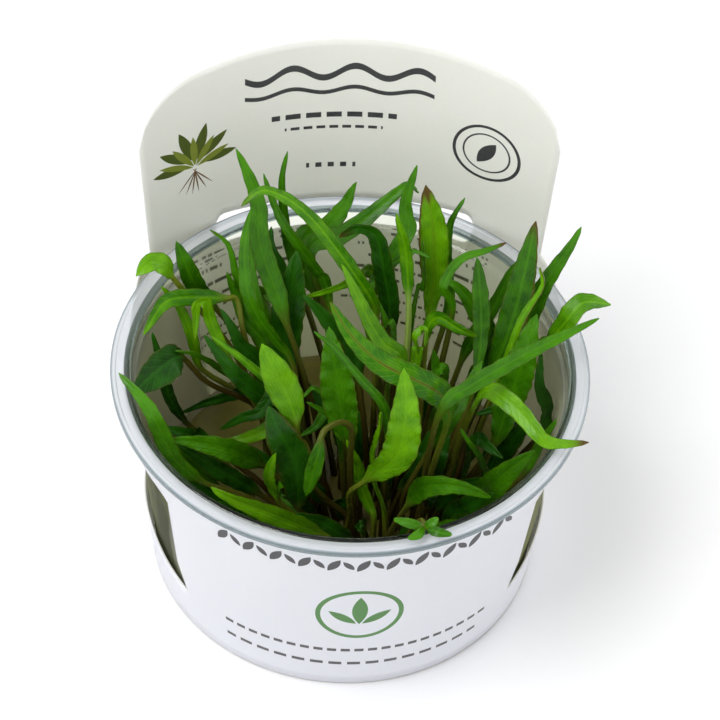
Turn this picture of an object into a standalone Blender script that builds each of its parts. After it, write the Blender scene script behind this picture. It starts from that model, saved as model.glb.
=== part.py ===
# Water plant with long narrow leaves, growing in a clear culture cup inside a card sleeve.
# Metres, +Z up. The cup stands on z = 0 around the Z axis, and its front faces -Y.

import math

import bmesh
import bpy
import numpy as np

MM = 0.001
GAP = 0.3                      # mm kept between pieces that rest on or touch each other

# Cup, in mm
SEGMENTS = 36
CUP_HEIGHT = 57.5
FLANGE_RADIUS = 52.0
FLANGE_THICKNESS = 1.4
LIP_RADIUS = 48.0
LIP_WALL_RADIUS = 47.5
LIP_OUTER_RADIUS = 48.1
LEDGE_Z = 52.8
LEDGE_RADIUS = 46.6
FLOOR_THICKNESS = 1.2
FLOOR_INNER_RADIUS = 42.4
FLOOR_OUTER_RADIUS = 42.95
WALL_START_Z = 2.4

# Culture gel, in mm
GEL_TOP = 12.0
GEL_MENISCUS = 0.9

# Card sleeve, in mm and degrees
CARD_THICKNESS = 0.4
SLEEVE_TURN = 4.0
SLEEVE_BOTTOM_RADIUS = 43.65
SLEEVE_TOP_RADIUS = 49.05
SLEEVE_BOTTOM_Z = 0.4
SLEEVE_TOP_Z = 55.6
WINDOW_FRONT_ANGLE = 55.0
WINDOW_TIP_TURN = 3.2
WINDOW_SIDE_Z = 22.0
WINDOW_BOTTOM_Z = 12.8
WINDOW_TOP_Z = 45.2
PANEL_ANGLE = 56.0
CARD_TOP_Z = 102.8
CARD_HALF_WIDTH = 46.0
CARD_NARROWING = 0.062
CARD_CENTRE_Y = 49.9
CARD_CURVE_RADIUS = 73.0
CARD_LEAN = 6.0
CARD_FREE_FROM_Z = 36.0
CARD_FREE_TO_Z = 55.0
SLOT_BOTTOM_Z = 50.8
SLOT_TOP_Z = 58.9
SLOT_END_ANGLE = 37.5

# Leaves, in mm
STALK_RADIUS = 0.95
STALK_TOP_RADIUS = 0.75
BLADE_THICKNESS = 0.7
MARGIN_THICKNESS = 0.34
CREASE = 0.22                  # how far a blade's margins rise, for each mm of half width
LEAF_FOOT_Z = GEL_TOP + GAP
FACING = np.array([0.0, -0.67, 0.74])   # the way the blades turn their upper faces
PARTING_ROUNDS = 220
LINES_ACROSS = np.array([-1.0, -0.5, 0.0, 0.5, 1.0])

# One line for each leaf: its width, where along it the blade starts, how far the blade is rolled
# about its own length, how many sections it is drawn with, the tone of its green, and its route:
# the foot's x and y on the gel, then points up to the tip.
LEAVES = {
    "leaf_back_left_broad": (4.8, 0.5, -20, 10, "green",
        (-5, 5), (-16, 12, 62), (-21, 17, 75), (-22, 21, 83), (-24, 24, 88), (-27, 28, 93)),
    "leaf_left_glossy_tall": (3.2, 0.45, 15, 10, "green",
        (-8, -3), (-13, 6, 50), (-19, 7, 60), (-23, 9, 69), (-24, 14, 79), (-23, 18, 85)),
    "leaf_centre_arching": (3.8, 0.45, 30, 12, "bright",
        (6, 3), (5, 9, 62), (2, 9, 72), (-7, 13, 84), (-13, 16, 89), (-20, 19, 90), (-25, 21, 83)),
    "leaf_centre_under_arch": (4.2, 0.5, -15, 10, "bright",
        (9, -3), (11, 0, 58), (7, 0, 64), (3, 2, 70), (-3, 6, 82)),
    "leaf_back_left_slim": (2.8, 0.5, 25, 10, "green",
        (-1, 8), (-6, 19, 60), (-9, 20, 66), (-16, 22, 77), (-19, 25, 82), (-21, 28, 86)),
    "leaf_back_left_spear": (2.2, 0.55, 0, 10, "green",
        (-1, 12), (-14, 27, 60), (-16, 27, 72), (-17, 28, 84), (-16, 30, 91)),
    "leaf_left_deep_broad": (7.6, 0.45, -10, 10, "deep",
        (-7, 0), (-14, 6, 46), (-15, 10, 56), (-14, 14, 62), (-13, 18, 73)),
    "leaf_back_wavy": (5.6, 0.5, 0, 10, "green",
        (2, 13), (-12, 28, 62), (-7, 30, 68), (-3, 32, 74), (-1, 33, 80)),
    "leaf_back_right_arch": (4.2, 0.5, 0, 10, "green",
        (5, 10), (-10, 27, 62), (-3, 27, 70), (5, 30, 76), (10, 34, 79), (13, 35, 76)),
    "leaf_back_centre_spear": (3.8, 0.55, 0, 10, "green",
        (9, 7), (4, 16, 60), (6, 19, 68), (11, 24, 75), (10, 27, 80), (12, 30, 89)),
    "leaf_centre_pale_upright": (3.0, 0.7, 15, 10, "bright",
        (10, 0), (12, 5, 50), (12, 11, 63), (11, 15, 74), (10, 16, 80), (8, 17, 87)),
    "leaf_right_brown_tipped": (6.6, 0.5, 5, 10, "bright",
        (14, 3), (17, 19, 56), (17, 22, 68), (16, 24, 78), (14, 26, 87)),
    "leaf_back_right_bent_tip": (2.4, 0.5, 0, 10, "green",
        (14, 10), (21, 21, 54), (20, 25, 65), (20, 28, 72), (21, 29, 76), (23, 31, 79)),
    "leaf_right_yellow_stalk": (2.2, 0.62, -10, 11, "green",
        (16, 1), (21, 9, 58), (21, 10, 68), (19, 10, 73), (22, 13, 78), (27, 14, 80), (32, 17, 80)),
    "leaf_right_bowed": (4.6, 0.6, 30, 10, "green",
        (22, 0), (29, 11, 56), (27, 12, 63), (23, 14, 68), (19, 16, 69)),
    "leaf_right_wet_upright": (4.0, 0.5, -15, 10, "green",
        (20, -6), (27, 0, 50), (28, 7, 62), (27, 12, 70), (26, 16, 76)),
    "leaf_right_tall_broad": (6.4, 0.45, 10, 10, "green",
        (24, 3), (32, 6, 54), (35, 10, 66), (37, 16, 78), (38, 20, 84)),
    "leaf_right_behind_tall": (3.6, 0.5, -20, 9, "green",
        (19, 8), (26, 16, 48), (31, 20, 57), (34, 23, 65), (36, 24, 68)),
    "leaf_right_bright_edge": (2.4, 0.5, 35, 10, "bright",
        (26, -2), (34, 1, 60), (36, 4, 69), (40, 8, 76), (39, 10, 80)),
    "leaf_far_right_spear": (4.0, 0.5, 0, 10, "green",
        (27, 5), (38, 13, 58), (41, 16, 68), (46, 19, 78), (48, 21, 82)),
    "leaf_far_right_folded": (5.0, 0.6, 30, 11, "bright",
        (30, 1), (40, 6, 58), (43, 5, 63), (46, 4, 71), (49, 6, 74), (55, 7, 73)),
    "leaf_right_long_diagonal": (3.6, 0.5, -15, 12, "green",
        (17, -19), (18, -17, 53), (20, -16, 64), (24, -15, 68), (36, -9, 73), (52, 0, 76)),
    "leaf_right_over_rim": (4.2, 0.5, -10, 12, "bright",
        (21, -13), (25, -9, 47), (28, -10, 60), (31, -12, 64), (37, -18, 64), (42, -23, 62), (51, -21, 60)),
    "leaf_right_low_spike": (2.2, 0.6, 0, 9, "green",
        (27, -14), (38, -17, 42), (41, -15, 50), (42, -16, 55), (44, -17, 62)),
    "leaf_right_broad_upright": (7.4, 0.4, 15, 10, "green",
        (27, -9), (33, -5, 40), (35, -2, 51), (37, 0, 63), (39, 4, 72)),
    "leaf_right_deep_broad": (6.0, 0.4, 0, 8, "deep",
        (26, -16), (32, -6, 32), (36, -6, 41), (40, -5, 48)),
    "leaf_front_right_broad": (6.4, 0.4, -10, 8, "green",
        (22, -20), (30, -18, 34), (33, -20, 45), (40, -19, 54)),
    "leaf_front_right_spear": (4.8, 0.45, -25, 10, "green",
        (8, -22), (15, -23, 41), (18, -26, 49), (24, -29, 53), (31, -30, 51)),
    "leaf_right_wet_blade": (4.4, 0.55, -20, 10, "green",
        (14, -12), (13, -13, 28), (18, -13, 45), (22, -12, 56), (28, -4, 65)),
    "leaf_centre_bent": (3.2, 0.7, -30, 11, "bright",
        (16, -5), (16, 6, 56), (17, 8, 63), (19, 7, 66), (23, 5, 65), (27, 6, 62)),
    "leaf_centre_long_broad": (6.0, 0.45, 0, 12, "bright",
        (16, -16), (21, -15, 58), (18, -15, 67), (7, -12, 71), (0, -9, 76), (-5, -5, 82)),
    "leaf_centre_long_slim": (2.2, 0.5, 20, 10, "green",
        (9, -15), (8, -16, 60), (2, -14, 69), (-4, -11, 75), (-8, -10, 78)),
    "leaf_centre_wavy_broad": (7.6, 0.45, 5, 10, "green",
        (4, -9), (0, -10, 44), (-2, -8, 55), (-4, -5, 67), (-5, -3, 72)),
    "leaf_centre_rolled": (2.8, 0.6, 55, 11, "bright",
        (9, 4), (6, 18, 58), (3, 19, 67), (-1, 13, 70), (-5, 10, 70), (-11, 10, 67)),
    "leaf_front_broad_upright": (7.4, 0.5, 5, 12, "bright",
        (-2, -21), (2, -21, 27), (1, -23, 40), (5, -25, 49), (11, -25, 58), (12, -22, 69), (11, -18, 77)),
    "leaf_back_dark_arch": (4.8, 0.5, 35, 11, "deep",
        (11, 3), (8, 14, 60), (6, 16, 71), (4, 18, 79), (0, 18, 81), (-4, 19, 77)),
    "leaf_front_hooked": (3.6, 0.78, 10, 12, "green",
        (3, -17), (1, -17, 42), (1, -17, 55), (-2, -19, 60), (-5, -23, 61), (-6, -26, 57), (-8, -29, 47)),
    "leaf_left_curled": (3.2, 0.6, 30, 9, "bright",
        (-2, -19), (-13, -21, 33), (-16, -22, 44), (-15, -22, 52)),
    "leaf_left_grey_broad": (8.4, 0.42, 0, 9, "deep",
        (-1, -16), (-9, -22, 32), (-10, -21, 41), (-11, -19, 47), (-14, -17, 52), (-17, -13, 57)),
    "leaf_left_bright_broad": (7.2, 0.66, 0, 11, "bright",
        (4, -13), (-7, -15, 33), (-10, -15, 45), (-11, -15, 54), (-13, -13, 60), (-16, -10, 65), (-19, -7, 70)),
    "leaf_front_left_spear": (5.0, 0.4, 25, 10, "bright",
        (1, -23), (-2, -28, 31), (-13, -32, 43), (-24, -33, 50), (-28, -32, 52)),
    "leaf_front_low_dark": (4.2, 0.4, 20, 8, "deep",
        (6, -23), (3, -21, 21), (-3, -22, 29), (-10, -23, 34)),
    "leaf_left_lower_broad": (5.4, 0.45, 20, 10, "green",
        (-6, -10), (-17, -10, 32), (-25, -15, 44), (-33, -18, 50), (-38, -19, 51)),
    "leaf_left_low_shade": (4.6, 0.45, 20, 9, "deep",
        (-5, -15), (-17, -15, 28), (-25, -17, 38), (-36, -16, 46)),
    "leaf_far_left_over_rim": (4.2, 0.5, 15, 11, "green",
        (-6, -19), (-18, -18, 30), (-30, -22, 41), (-38, -21, 50), (-42, -18, 60), (-49, -12, 64)),
    "leaf_left_rim_broad": (7.6, 0.76, 0, 10, "deep",
        (-11, -3), (-19, 3, 38), (-28, -1, 47), (-34, -2, 56), (-37, -4, 61), (-41, -9, 62), (-46, -15, 61)),
    "leaf_left_wall_stalk": (2.8, 0.5, 0, 10, "deep",
        (-13, -7), (-33, -1, 32), (-39, -1, 43), (-41, -1, 55), (-43, 0, 64)),
    "leaf_left_low_dark": (3.2, 0.4, 30, 9, "deep",
        (-9, 1), (-20, 10, 34), (-29, 5, 38), (-37, 1, 37)),
    "leaf_left_bent_tip": (5.0, 0.84, -40, 10, "bright",
        (-15, -1), (-24, 8, 46), (-36, 12, 63), (-39, 12, 68), (-41, 12, 72), (-44, 11, 74), (-47, 8, 73)),
    "leaf_left_spoon": (4.4, 0.66, 0, 10, "green",
        (-14, 4), (-22, 14, 42), (-32, 16, 58), (-35, 15, 64), (-37, 15, 70), (-39, 16, 76)),
    "leaf_left_slim_upright": (2.6, 0.6, -10, 10, "bright",
        (-10, 6), (-25, 9, 36), (-33, 8, 44), (-35, 8, 54), (-38, 10, 62), (-42, 11, 67)),
    "leaf_left_arch_over_rim": (3.8, 0.68, 0, 11, "bright",
        (-13, 5), (-23, 9, 52), (-25, 13, 61), (-30, 12, 63), (-36, 10, 65), (-41, 7, 66), (-45, 1, 62)),
    "leaf_left_drooping": (2.8, 0.6, 40, 12, "bright",
        (-9, -6), (-24, 3, 46), (-28, 4, 55), (-31, 6, 62), (-32, 7, 67), (-34, 6, 67), (-34, 5, 63),
        (-34, 3, 59)),
    "leaf_left_diagonal": (4.4, 0.4, -10, 9, "deep",
        (-10, -9), (-18, 0, 42), (-25, 0, 52), (-32, 4, 60)),
    "leaf_left_bright_slim": (2.2, 0.45, 0, 9, "bright",
        (-6, -8), (-14, -5, 50), (-22, -4, 60), (-30, -2, 66)),
    "leaf_left_bent_thin": (2.2, 0.5, 25, 10, "green",
        (-12, 3), (-23, 14, 54), (-26, 17, 66), (-28, 19, 73), (-32, 20, 76)),
}

# Where a blade is at its widest, as a share of its length, for the blades that differ from the rest
WIDEST = 0.42
WIDEST_OF = {
    "leaf_right_brown_tipped": 0.62,
    "leaf_right_wet_upright": 0.66,
    "leaf_right_tall_broad": 0.5,
    "leaf_right_broad_upright": 0.55,
    "leaf_left_glossy_tall": 0.5,
    "leaf_left_deep_broad": 0.5,
    "leaf_left_grey_broad": 0.55,
    "leaf_left_bright_broad": 0.52,
    "leaf_left_bent_tip": 0.4,
    "leaf_left_spoon": 0.55,
    "leaf_left_rim_broad": 0.45,
    "leaf_centre_wavy_broad": 0.5,
    "leaf_front_broad_upright": 0.5,
    "leaf_far_right_folded": 0.68,
    "leaf_front_hooked": 0.5,
}

# Young shoot hanging over the front lip: its stem's route, then its small leaves' routes, in mm
SHOOT_STEM = ((12, -26, 12.3), (13, -33, 36), (15, -40, 53), (16, -43, 58.5), (17, -45.5, 59.8))
SHOOT_LEAVES = (
    ((17, -45.5, 59.4), (13, -45, 60), (10.5, -44, 59.5)),
    ((17, -45.5, 59.4), (15.5, -48, 60), (13.5, -49, 59.8)),
    ((17, -45.5, 59.4), (19.5, -47.5, 60.5), (22.5, -47.5, 59.8)),
    ((17, -45.5, 59.4), (18, -46, 61), (19.5, -45, 62)),
)
SHOOT_STEM_RADIUS = 0.55
SHOOT_LEAF_WIDTH = 1.8

MATERIALS = {
    "clear_plastic": ((0.88, 0.92, 0.93), 0.08),
    "label_card": ((0.78, 0.79, 0.80), 0.65),
    "culture_gel": ((0.35, 0.33, 0.18), 0.25),
    "bright": ((0.16, 0.42, 0.02), 0.32),
    "green": ((0.07, 0.27, 0.02), 0.34),
    "deep": ((0.03, 0.15, 0.015), 0.38),
}


def clear_scene():
    for obj in list(bpy.data.objects):
        bpy.data.objects.remove(obj, do_unlink=True)


def make_material(name):
    colour, roughness = MATERIALS[name]
    label = "leaf_" + name if name in ("bright", "green", "deep") else name
    material = bpy.data.materials.get(label)
    if material:
        return material
    material = bpy.data.materials.new(label)
    material.use_nodes = True
    shader = material.node_tree.nodes["Principled BSDF"]
    shader.inputs["Base Color"].default_value = (*colour, 1.0)
    shader.inputs["Roughness"].default_value = roughness
    shader.inputs["Metallic"].default_value = 0.0
    if name == "clear_plastic":
        shader.inputs["Transmission Weight"].default_value = 0.9
    return material


def add_object(name, points, faces, material, smooth_angle=35.0):
    """Make one closed mesh object from points in mm."""
    mesh = bpy.data.meshes.new(name)
    mesh.from_pydata([tuple(float(c) * MM for c in p) for p in points], [], faces)
    shape = bmesh.new()
    shape.from_mesh(mesh)
    bmesh.ops.recalc_face_normals(shape, faces=shape.faces)
    shape.to_mesh(mesh)
    shape.free()
    mesh.materials.append(make_material(material))
    mesh.shade_smooth()
    mesh.set_sharp_from_angle(angle=math.radians(smooth_angle))
    obj = bpy.data.objects.new(name, mesh)
    bpy.context.scene.collection.objects.link(obj)
    return obj


def lathe(profile, segments):
    """Turn a closed profile of (radius, z) about Z. Its first and last points lie on the axis."""
    points = [(0.0, 0.0, profile[0][1])]
    for radius, z in profile[1:-1]:
        for step in range(segments):
            angle = 2.0 * math.pi * step / segments
            points.append((radius * math.cos(angle), radius * math.sin(angle), z))
    points.append((0.0, 0.0, profile[-1][1]))
    last = len(points) - 1
    ring_count = len(profile) - 2
    faces = []
    for step in range(segments):
        after = (step + 1) % segments
        faces.append((0, 1 + after, 1 + step))
        for ring in range(ring_count - 1):
            low = 1 + ring * segments
            high = low + segments
            faces.append((low + step, low + after, high + after, high + step))
        top = 1 + (ring_count - 1) * segments
        faces.append((top + step, top + after, last))
    return points, faces


def wall_inner_radius(z):
    """Inner radius of the cup's tapered wall at height z."""
    share = (z - WALL_START_Z) / (LEDGE_Z - WALL_START_Z)
    return FLOOR_INNER_RADIUS + share * (LEDGE_RADIUS - FLOOR_INNER_RADIUS)


def make_cup():
    under = CUP_HEIGHT - FLANGE_THICKNESS
    profile = [
        (0.0, 0.0),
        (FLOOR_OUTER_RADIUS - 1.8, 0.0),
        (FLOOR_OUTER_RADIUS - 0.4, 0.5),
        (FLOOR_OUTER_RADIUS, 1.8),
        (LEDGE_RADIUS + 0.7, LEDGE_Z - 1.0),
        (LIP_OUTER_RADIUS, LEDGE_Z),
        (LIP_OUTER_RADIUS, under),
        (FLANGE_RADIUS - 0.3, under),
        (FLANGE_RADIUS, under + 0.4),
        (FLANGE_RADIUS, CUP_HEIGHT - 0.3),
        (FLANGE_RADIUS - 0.3, CUP_HEIGHT),
        (LIP_RADIUS, CUP_HEIGHT),
        (LIP_WALL_RADIUS, CUP_HEIGHT - 0.5),
        (LIP_WALL_RADIUS, LEDGE_Z + 0.8),
        (LEDGE_RADIUS, LEDGE_Z),
        (FLOOR_INNER_RADIUS, WALL_START_Z),
        (FLOOR_INNER_RADIUS - 1.1, FLOOR_THICKNESS),
        (0.0, FLOOR_THICKNESS),
    ]
    points, faces = lathe(profile, SEGMENTS)
    return add_object("cup", points, faces, "clear_plastic")


def make_gel():
    bottom = FLOOR_THICKNESS + GAP
    side = GEL_TOP + GEL_MENISCUS
    profile = [
        (0.0, bottom),
        (FLOOR_INNER_RADIUS - 1.5, bottom),
        (FLOOR_INNER_RADIUS - 0.4, WALL_START_Z + 0.2),
        (wall_inner_radius(side) - 0.4, side),
        (wall_inner_radius(side) - 1.6, GEL_TOP + 0.2),
        (wall_inner_radius(side) - 5.0, GEL_TOP),
        (0.0, GEL_TOP),
    ]
    points, faces = lathe(profile, SEGMENTS)
    return add_object("culture_gel", points, faces, "culture_gel")


def smooth_step(value):
    value = min(max(value, 0.0), 1.0)
    return value * value * (3.0 - 2.0 * value)


def sleeve_radius(z):
    share = (z - SLEEVE_BOTTOM_Z) / (SLEEVE_TOP_Z - SLEEVE_BOTTOM_Z)
    return SLEEVE_BOTTOM_RADIUS + share * (SLEEVE_TOP_RADIUS - SLEEVE_BOTTOM_RADIUS)


def card_edge_half_width(z):
    return CARD_HALF_WIDTH - CARD_NARROWING * max(0.0, 85.0 - z)


def card_y(x, z):
    """How far back the display card stands at x across and height z."""
    lean = math.tan(math.radians(CARD_LEAN)) * (z - CUP_HEIGHT)
    bow = CARD_CURVE_RADIUS - math.sqrt(CARD_CURVE_RADIUS ** 2 - x * x)
    return CARD_CENTRE_Y + max(lean, 0.0) - bow


def card_top(share):
    """Height of the card's top edge at a share of its half width: an arch with big round corners."""
    across = abs(share)
    arch = CARD_TOP_Z - 5.2 * across ** 2
    corner_start = 0.74
    if across <= corner_start:
        return arch
    corner = (across - corner_start) / (1.0 - corner_start)
    return arch - 11.5 * (1.0 - math.sqrt(max(0.0, 1.0 - corner ** 2)))


def sleeve_point(angle, z):
    """A point on the sleeve, at degrees from the back. The back panel leaves the cup as it rises."""
    sweep = math.radians(angle)
    radius = sleeve_radius(min(z, SLEEVE_TOP_Z))
    on_cup = np.array([radius * math.sin(sweep), radius * math.cos(sweep)])
    share = max(-1.0, min(1.0, angle / PANEL_ANGLE))
    x = share * card_edge_half_width(z)
    on_card = np.array([x, card_y(x, z)])
    reach = PANEL_ANGLE + 24.0
    fade = smooth_step((reach - abs(angle)) / (reach - PANEL_ANGLE))
    if abs(angle) > PANEL_ANGLE:
        side = math.copysign(PANEL_ANGLE, angle)
        edge = np.array([math.sin(math.radians(side)), math.cos(math.radians(side))]) * radius
        on_card = on_cup + (on_card - edge)
    free = smooth_step((z - CARD_FREE_FROM_Z) / (CARD_FREE_TO_Z - CARD_FREE_FROM_Z)) * fade
    flat = on_cup * (1.0 - free) + on_card * free
    turn = math.radians(SLEEVE_TURN)
    x, y = flat
    return (x * math.cos(turn) - y * math.sin(turn), x * math.sin(turn) + y * math.cos(turn), z)


def sleeve_angles():
    """Columns of the sleeve, in degrees from the back, once around."""
    half = [0.0, 12.0, 24.0, 32.0, SLOT_END_ANGLE, 42.0, 46.0, 49.5, 52.5, 54.8, PANEL_ANGLE]
    half += [65.0, 74.0, 83.0, 92.0, 101.0, 110.0, 117.5, 180.0 - WINDOW_FRONT_ANGLE]
    half += [133.5, 143.0, 152.0, 161.0, 170.5]
    return [-180.0] + [-a for a in reversed(half[1:])] + half


def window_edges(angle):
    """Lower and upper edge of a side window. Both slope towards the back behind its front corners."""
    behind = min(max(180.0 - WINDOW_FRONT_ANGLE - abs(angle), 0.0), 24.0)
    lower = WINDOW_BOTTOM_Z + 0.22 * behind
    upper = WINDOW_TOP_Z - 0.13 * max(behind - 6.0, 0.0)
    if abs(angle) > 179.0 - WINDOW_FRONT_ANGLE:
        upper -= 1.2
    return lower, upper


def make_sleeve():
    """Card sleeve: front panel, side windows, two bands and the tall card with the slot behind."""
    card_shares = [0.0, 0.3, 0.62, 1.0]
    angles = sleeve_angles()
    columns = []
    for angle in angles:
        lower, upper = window_edges(angle)
        heights = [SLEEVE_BOTTOM_Z, lower, WINDOW_SIDE_Z, upper, SLOT_BOTTOM_Z, SLEEVE_TOP_Z]
        if abs(angle) <= PANEL_ANGLE:
            top = card_top(angle / PANEL_ANGLE)
            heights += [SLOT_TOP_Z + share * (top - SLOT_TOP_Z) for share in card_shares]
        column = [sleeve_point(angle, z) for z in heights]
        if abs(abs(angle) - (180.0 - WINDOW_FRONT_ANGLE)) < 0.01:
            tip = angle + math.copysign(WINDOW_TIP_TURN, angle)     # a window ends in a point in front
            column[1] = sleeve_point(tip, lower)
        columns.append(column)
    points = []
    index = []
    for column in columns:
        index.append(range(len(points), len(points) + len(column)))
        points.extend(column)
    window_rear = 180.0 - WINDOW_FRONT_ANGLE
    faces = []
    for i, angle in enumerate(angles):
        j = (i + 1) % len(angles)
        after = angles[j] if j else 180.0
        middle = abs(0.5 * (angle + after))
        for row in range(min(len(columns[i]), len(columns[j])) - 1):
            in_window = PANEL_ANGLE < middle < window_rear and 1 <= row <= 2
            in_slot = middle < SLOT_END_ANGLE and 4 <= row <= 5
            if in_window or in_slot:
                continue
            faces.append((index[i][row], index[j][row], index[j][row + 1], index[i][row + 1]))
    used = sorted({v for face in faces for v in face})
    place = {v: n for n, v in enumerate(used)}
    faces = [tuple(place[v] for v in face) for face in faces]
    obj = add_object("label_sleeve", [points[v] for v in used], faces, "label_card")
    wall = obj.modifiers.new("card thickness", "SOLIDIFY")
    wall.thickness = CARD_THICKNESS * MM
    wall.offset = 0.0
    wall.use_even_offset = True
    return obj


def along_curve(route, count, blade_start=0.0):
    """Smooth curve through a route's points, with more sections in the blade and where it bends."""
    points = np.array(route, float)
    ghost_start = 2.0 * points[0] - points[1]
    ghost_end = 2.0 * points[-1] - points[-2]
    padded = np.vstack([ghost_start, points, ghost_end])
    fine = []
    for i in range(1, len(padded) - 2):
        p0, p1, p2, p3 = padded[i - 1:i + 3]
        for t in np.linspace(0.0, 1.0, 24, endpoint=False):
            fine.append(0.5 * (2.0 * p1 + (p2 - p0) * t + (2.0 * p0 - 5.0 * p1 + 4.0 * p2 - p3) * t ** 2
                               + (3.0 * p1 - p0 - 3.0 * p2 + p3) * t ** 3))
    fine.append(points[-1])
    fine = np.array(fine)
    steps = np.diff(fine, axis=0)
    lengths = np.linalg.norm(steps, axis=1)
    ways = steps / lengths[:, None]
    turns = np.arccos(np.clip((ways[1:] * ways[:-1]).sum(axis=1), -1.0, 1.0))
    weights = lengths.copy()
    weights[1:] += 9.0 * turns
    weights *= 1.0 + 1.2 * (np.cumsum(lengths) / lengths.sum() > blade_start)
    travelled = np.concatenate([[0.0], np.cumsum(weights)])
    travelled /= travelled[-1]
    wanted = np.linspace(0.0, 1.0, count)
    return np.array([[np.interp(w, travelled, fine[:, axis]) for axis in range(3)] for w in wanted])


def leaf_route(foot, points):
    """Route of a leaf in mm. Its stalk rises out of the gel before it leans to its first point."""
    start = np.array([foot[0], foot[1], LEAF_FOOT_Z])
    first = np.array(points[0], float)
    knee = start + (first - start) * np.array([0.28, 0.28, 0.45])
    if first[2] - start[2] < 14.0:
        return [start] + [np.array(p, float) for p in points]
    return [start, knee] + [np.array(p, float) for p in points]


def shares_along(centres):
    lengths = np.linalg.norm(np.diff(centres, axis=0), axis=1)
    travelled = np.concatenate([[0.0], np.cumsum(lengths)])
    return travelled / travelled[-1]


def section_sizes(centres, width, blade_start, widest=WIDEST):
    """Half width, half thickness at the midrib and half thickness at the margin, at each section."""
    sizes = []
    bend = math.log(0.5) / math.log(widest)
    for share in shares_along(centres):
        stalk = STALK_RADIUS + (STALK_TOP_RADIUS - STALK_RADIUS) * min(share / blade_start, 1.0)
        s = max(0.0, (share - blade_start) / (1.0 - blade_start))
        swell = math.sin(math.pi * min(s, 1.0) ** bend) ** 0.8 if 0.0 < s < 1.0 else 0.0
        turn = smooth_step(s / 0.22)
        half = stalk * 0.87 * (1.0 - turn) + turn * (0.3 + (width / 2.0 - 0.3) * max(swell, 0.0))
        middle = stalk * (1.0 - turn) + BLADE_THICKNESS / 2.0 * turn * (1.0 - 0.3 * s)
        margin = stalk * 0.5 * (1.0 - turn) + MARGIN_THICKNESS / 2.0 * turn
        sizes.append((half, middle, margin, turn))
    return np.array(sizes)


def section_ways(centres, roll):
    """Unit vectors across and out of the leaf at each section, turned as little as the leaf allows."""
    ways = np.gradient(centres, axis=0)
    ways /= np.linalg.norm(ways, axis=1)[:, None]
    if centres[0][2] < LEAF_FOOT_Z + 0.1:
        ways[0] = (0.0, 0.0, 1.0)      # the foot ends level, just above the gel
    base = len(centres) * 2 // 3
    across = np.cross(ways[base], FACING)
    across /= np.linalg.norm(across)
    angle = math.radians(roll)
    out = np.cross(across, ways[base])
    across = across * math.cos(angle) + out * math.sin(angle)
    sides = np.zeros_like(centres)
    sides[base] = across
    for order in (range(base + 1, len(centres)), range(base - 1, -1, -1)):
        side = across
        for i in order:
            side = side - ways[i] * (side @ ways[i])
            side /= np.linalg.norm(side)
            sides[i] = side
    outs = np.cross(sides, ways)
    outs /= np.linalg.norm(outs, axis=1)[:, None]
    return sides, outs


def closest_on_lines(p1, q1, p2, q2):
    """Closest points of many pairs of line pieces, and where along each they lie."""
    d1 = q1 - p1
    d2 = q2 - p2
    r = p1 - p2
    a = (d1 * d1).sum(-1)
    e = (d2 * d2).sum(-1)
    f = (d2 * r).sum(-1)
    c = (d1 * r).sum(-1)
    b = (d1 * d2).sum(-1)
    determinant = np.maximum(a * e - b * b, 1e-9)
    s = np.clip((b * f - c * e) / determinant, 0.0, 1.0)
    t = np.clip((b * s + f) / e, 0.0, 1.0)
    s = np.clip((b * t - c) / a, 0.0, 1.0)
    return p1 + d1 * s[..., None], p2 + d2 * t[..., None], s, t


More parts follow.
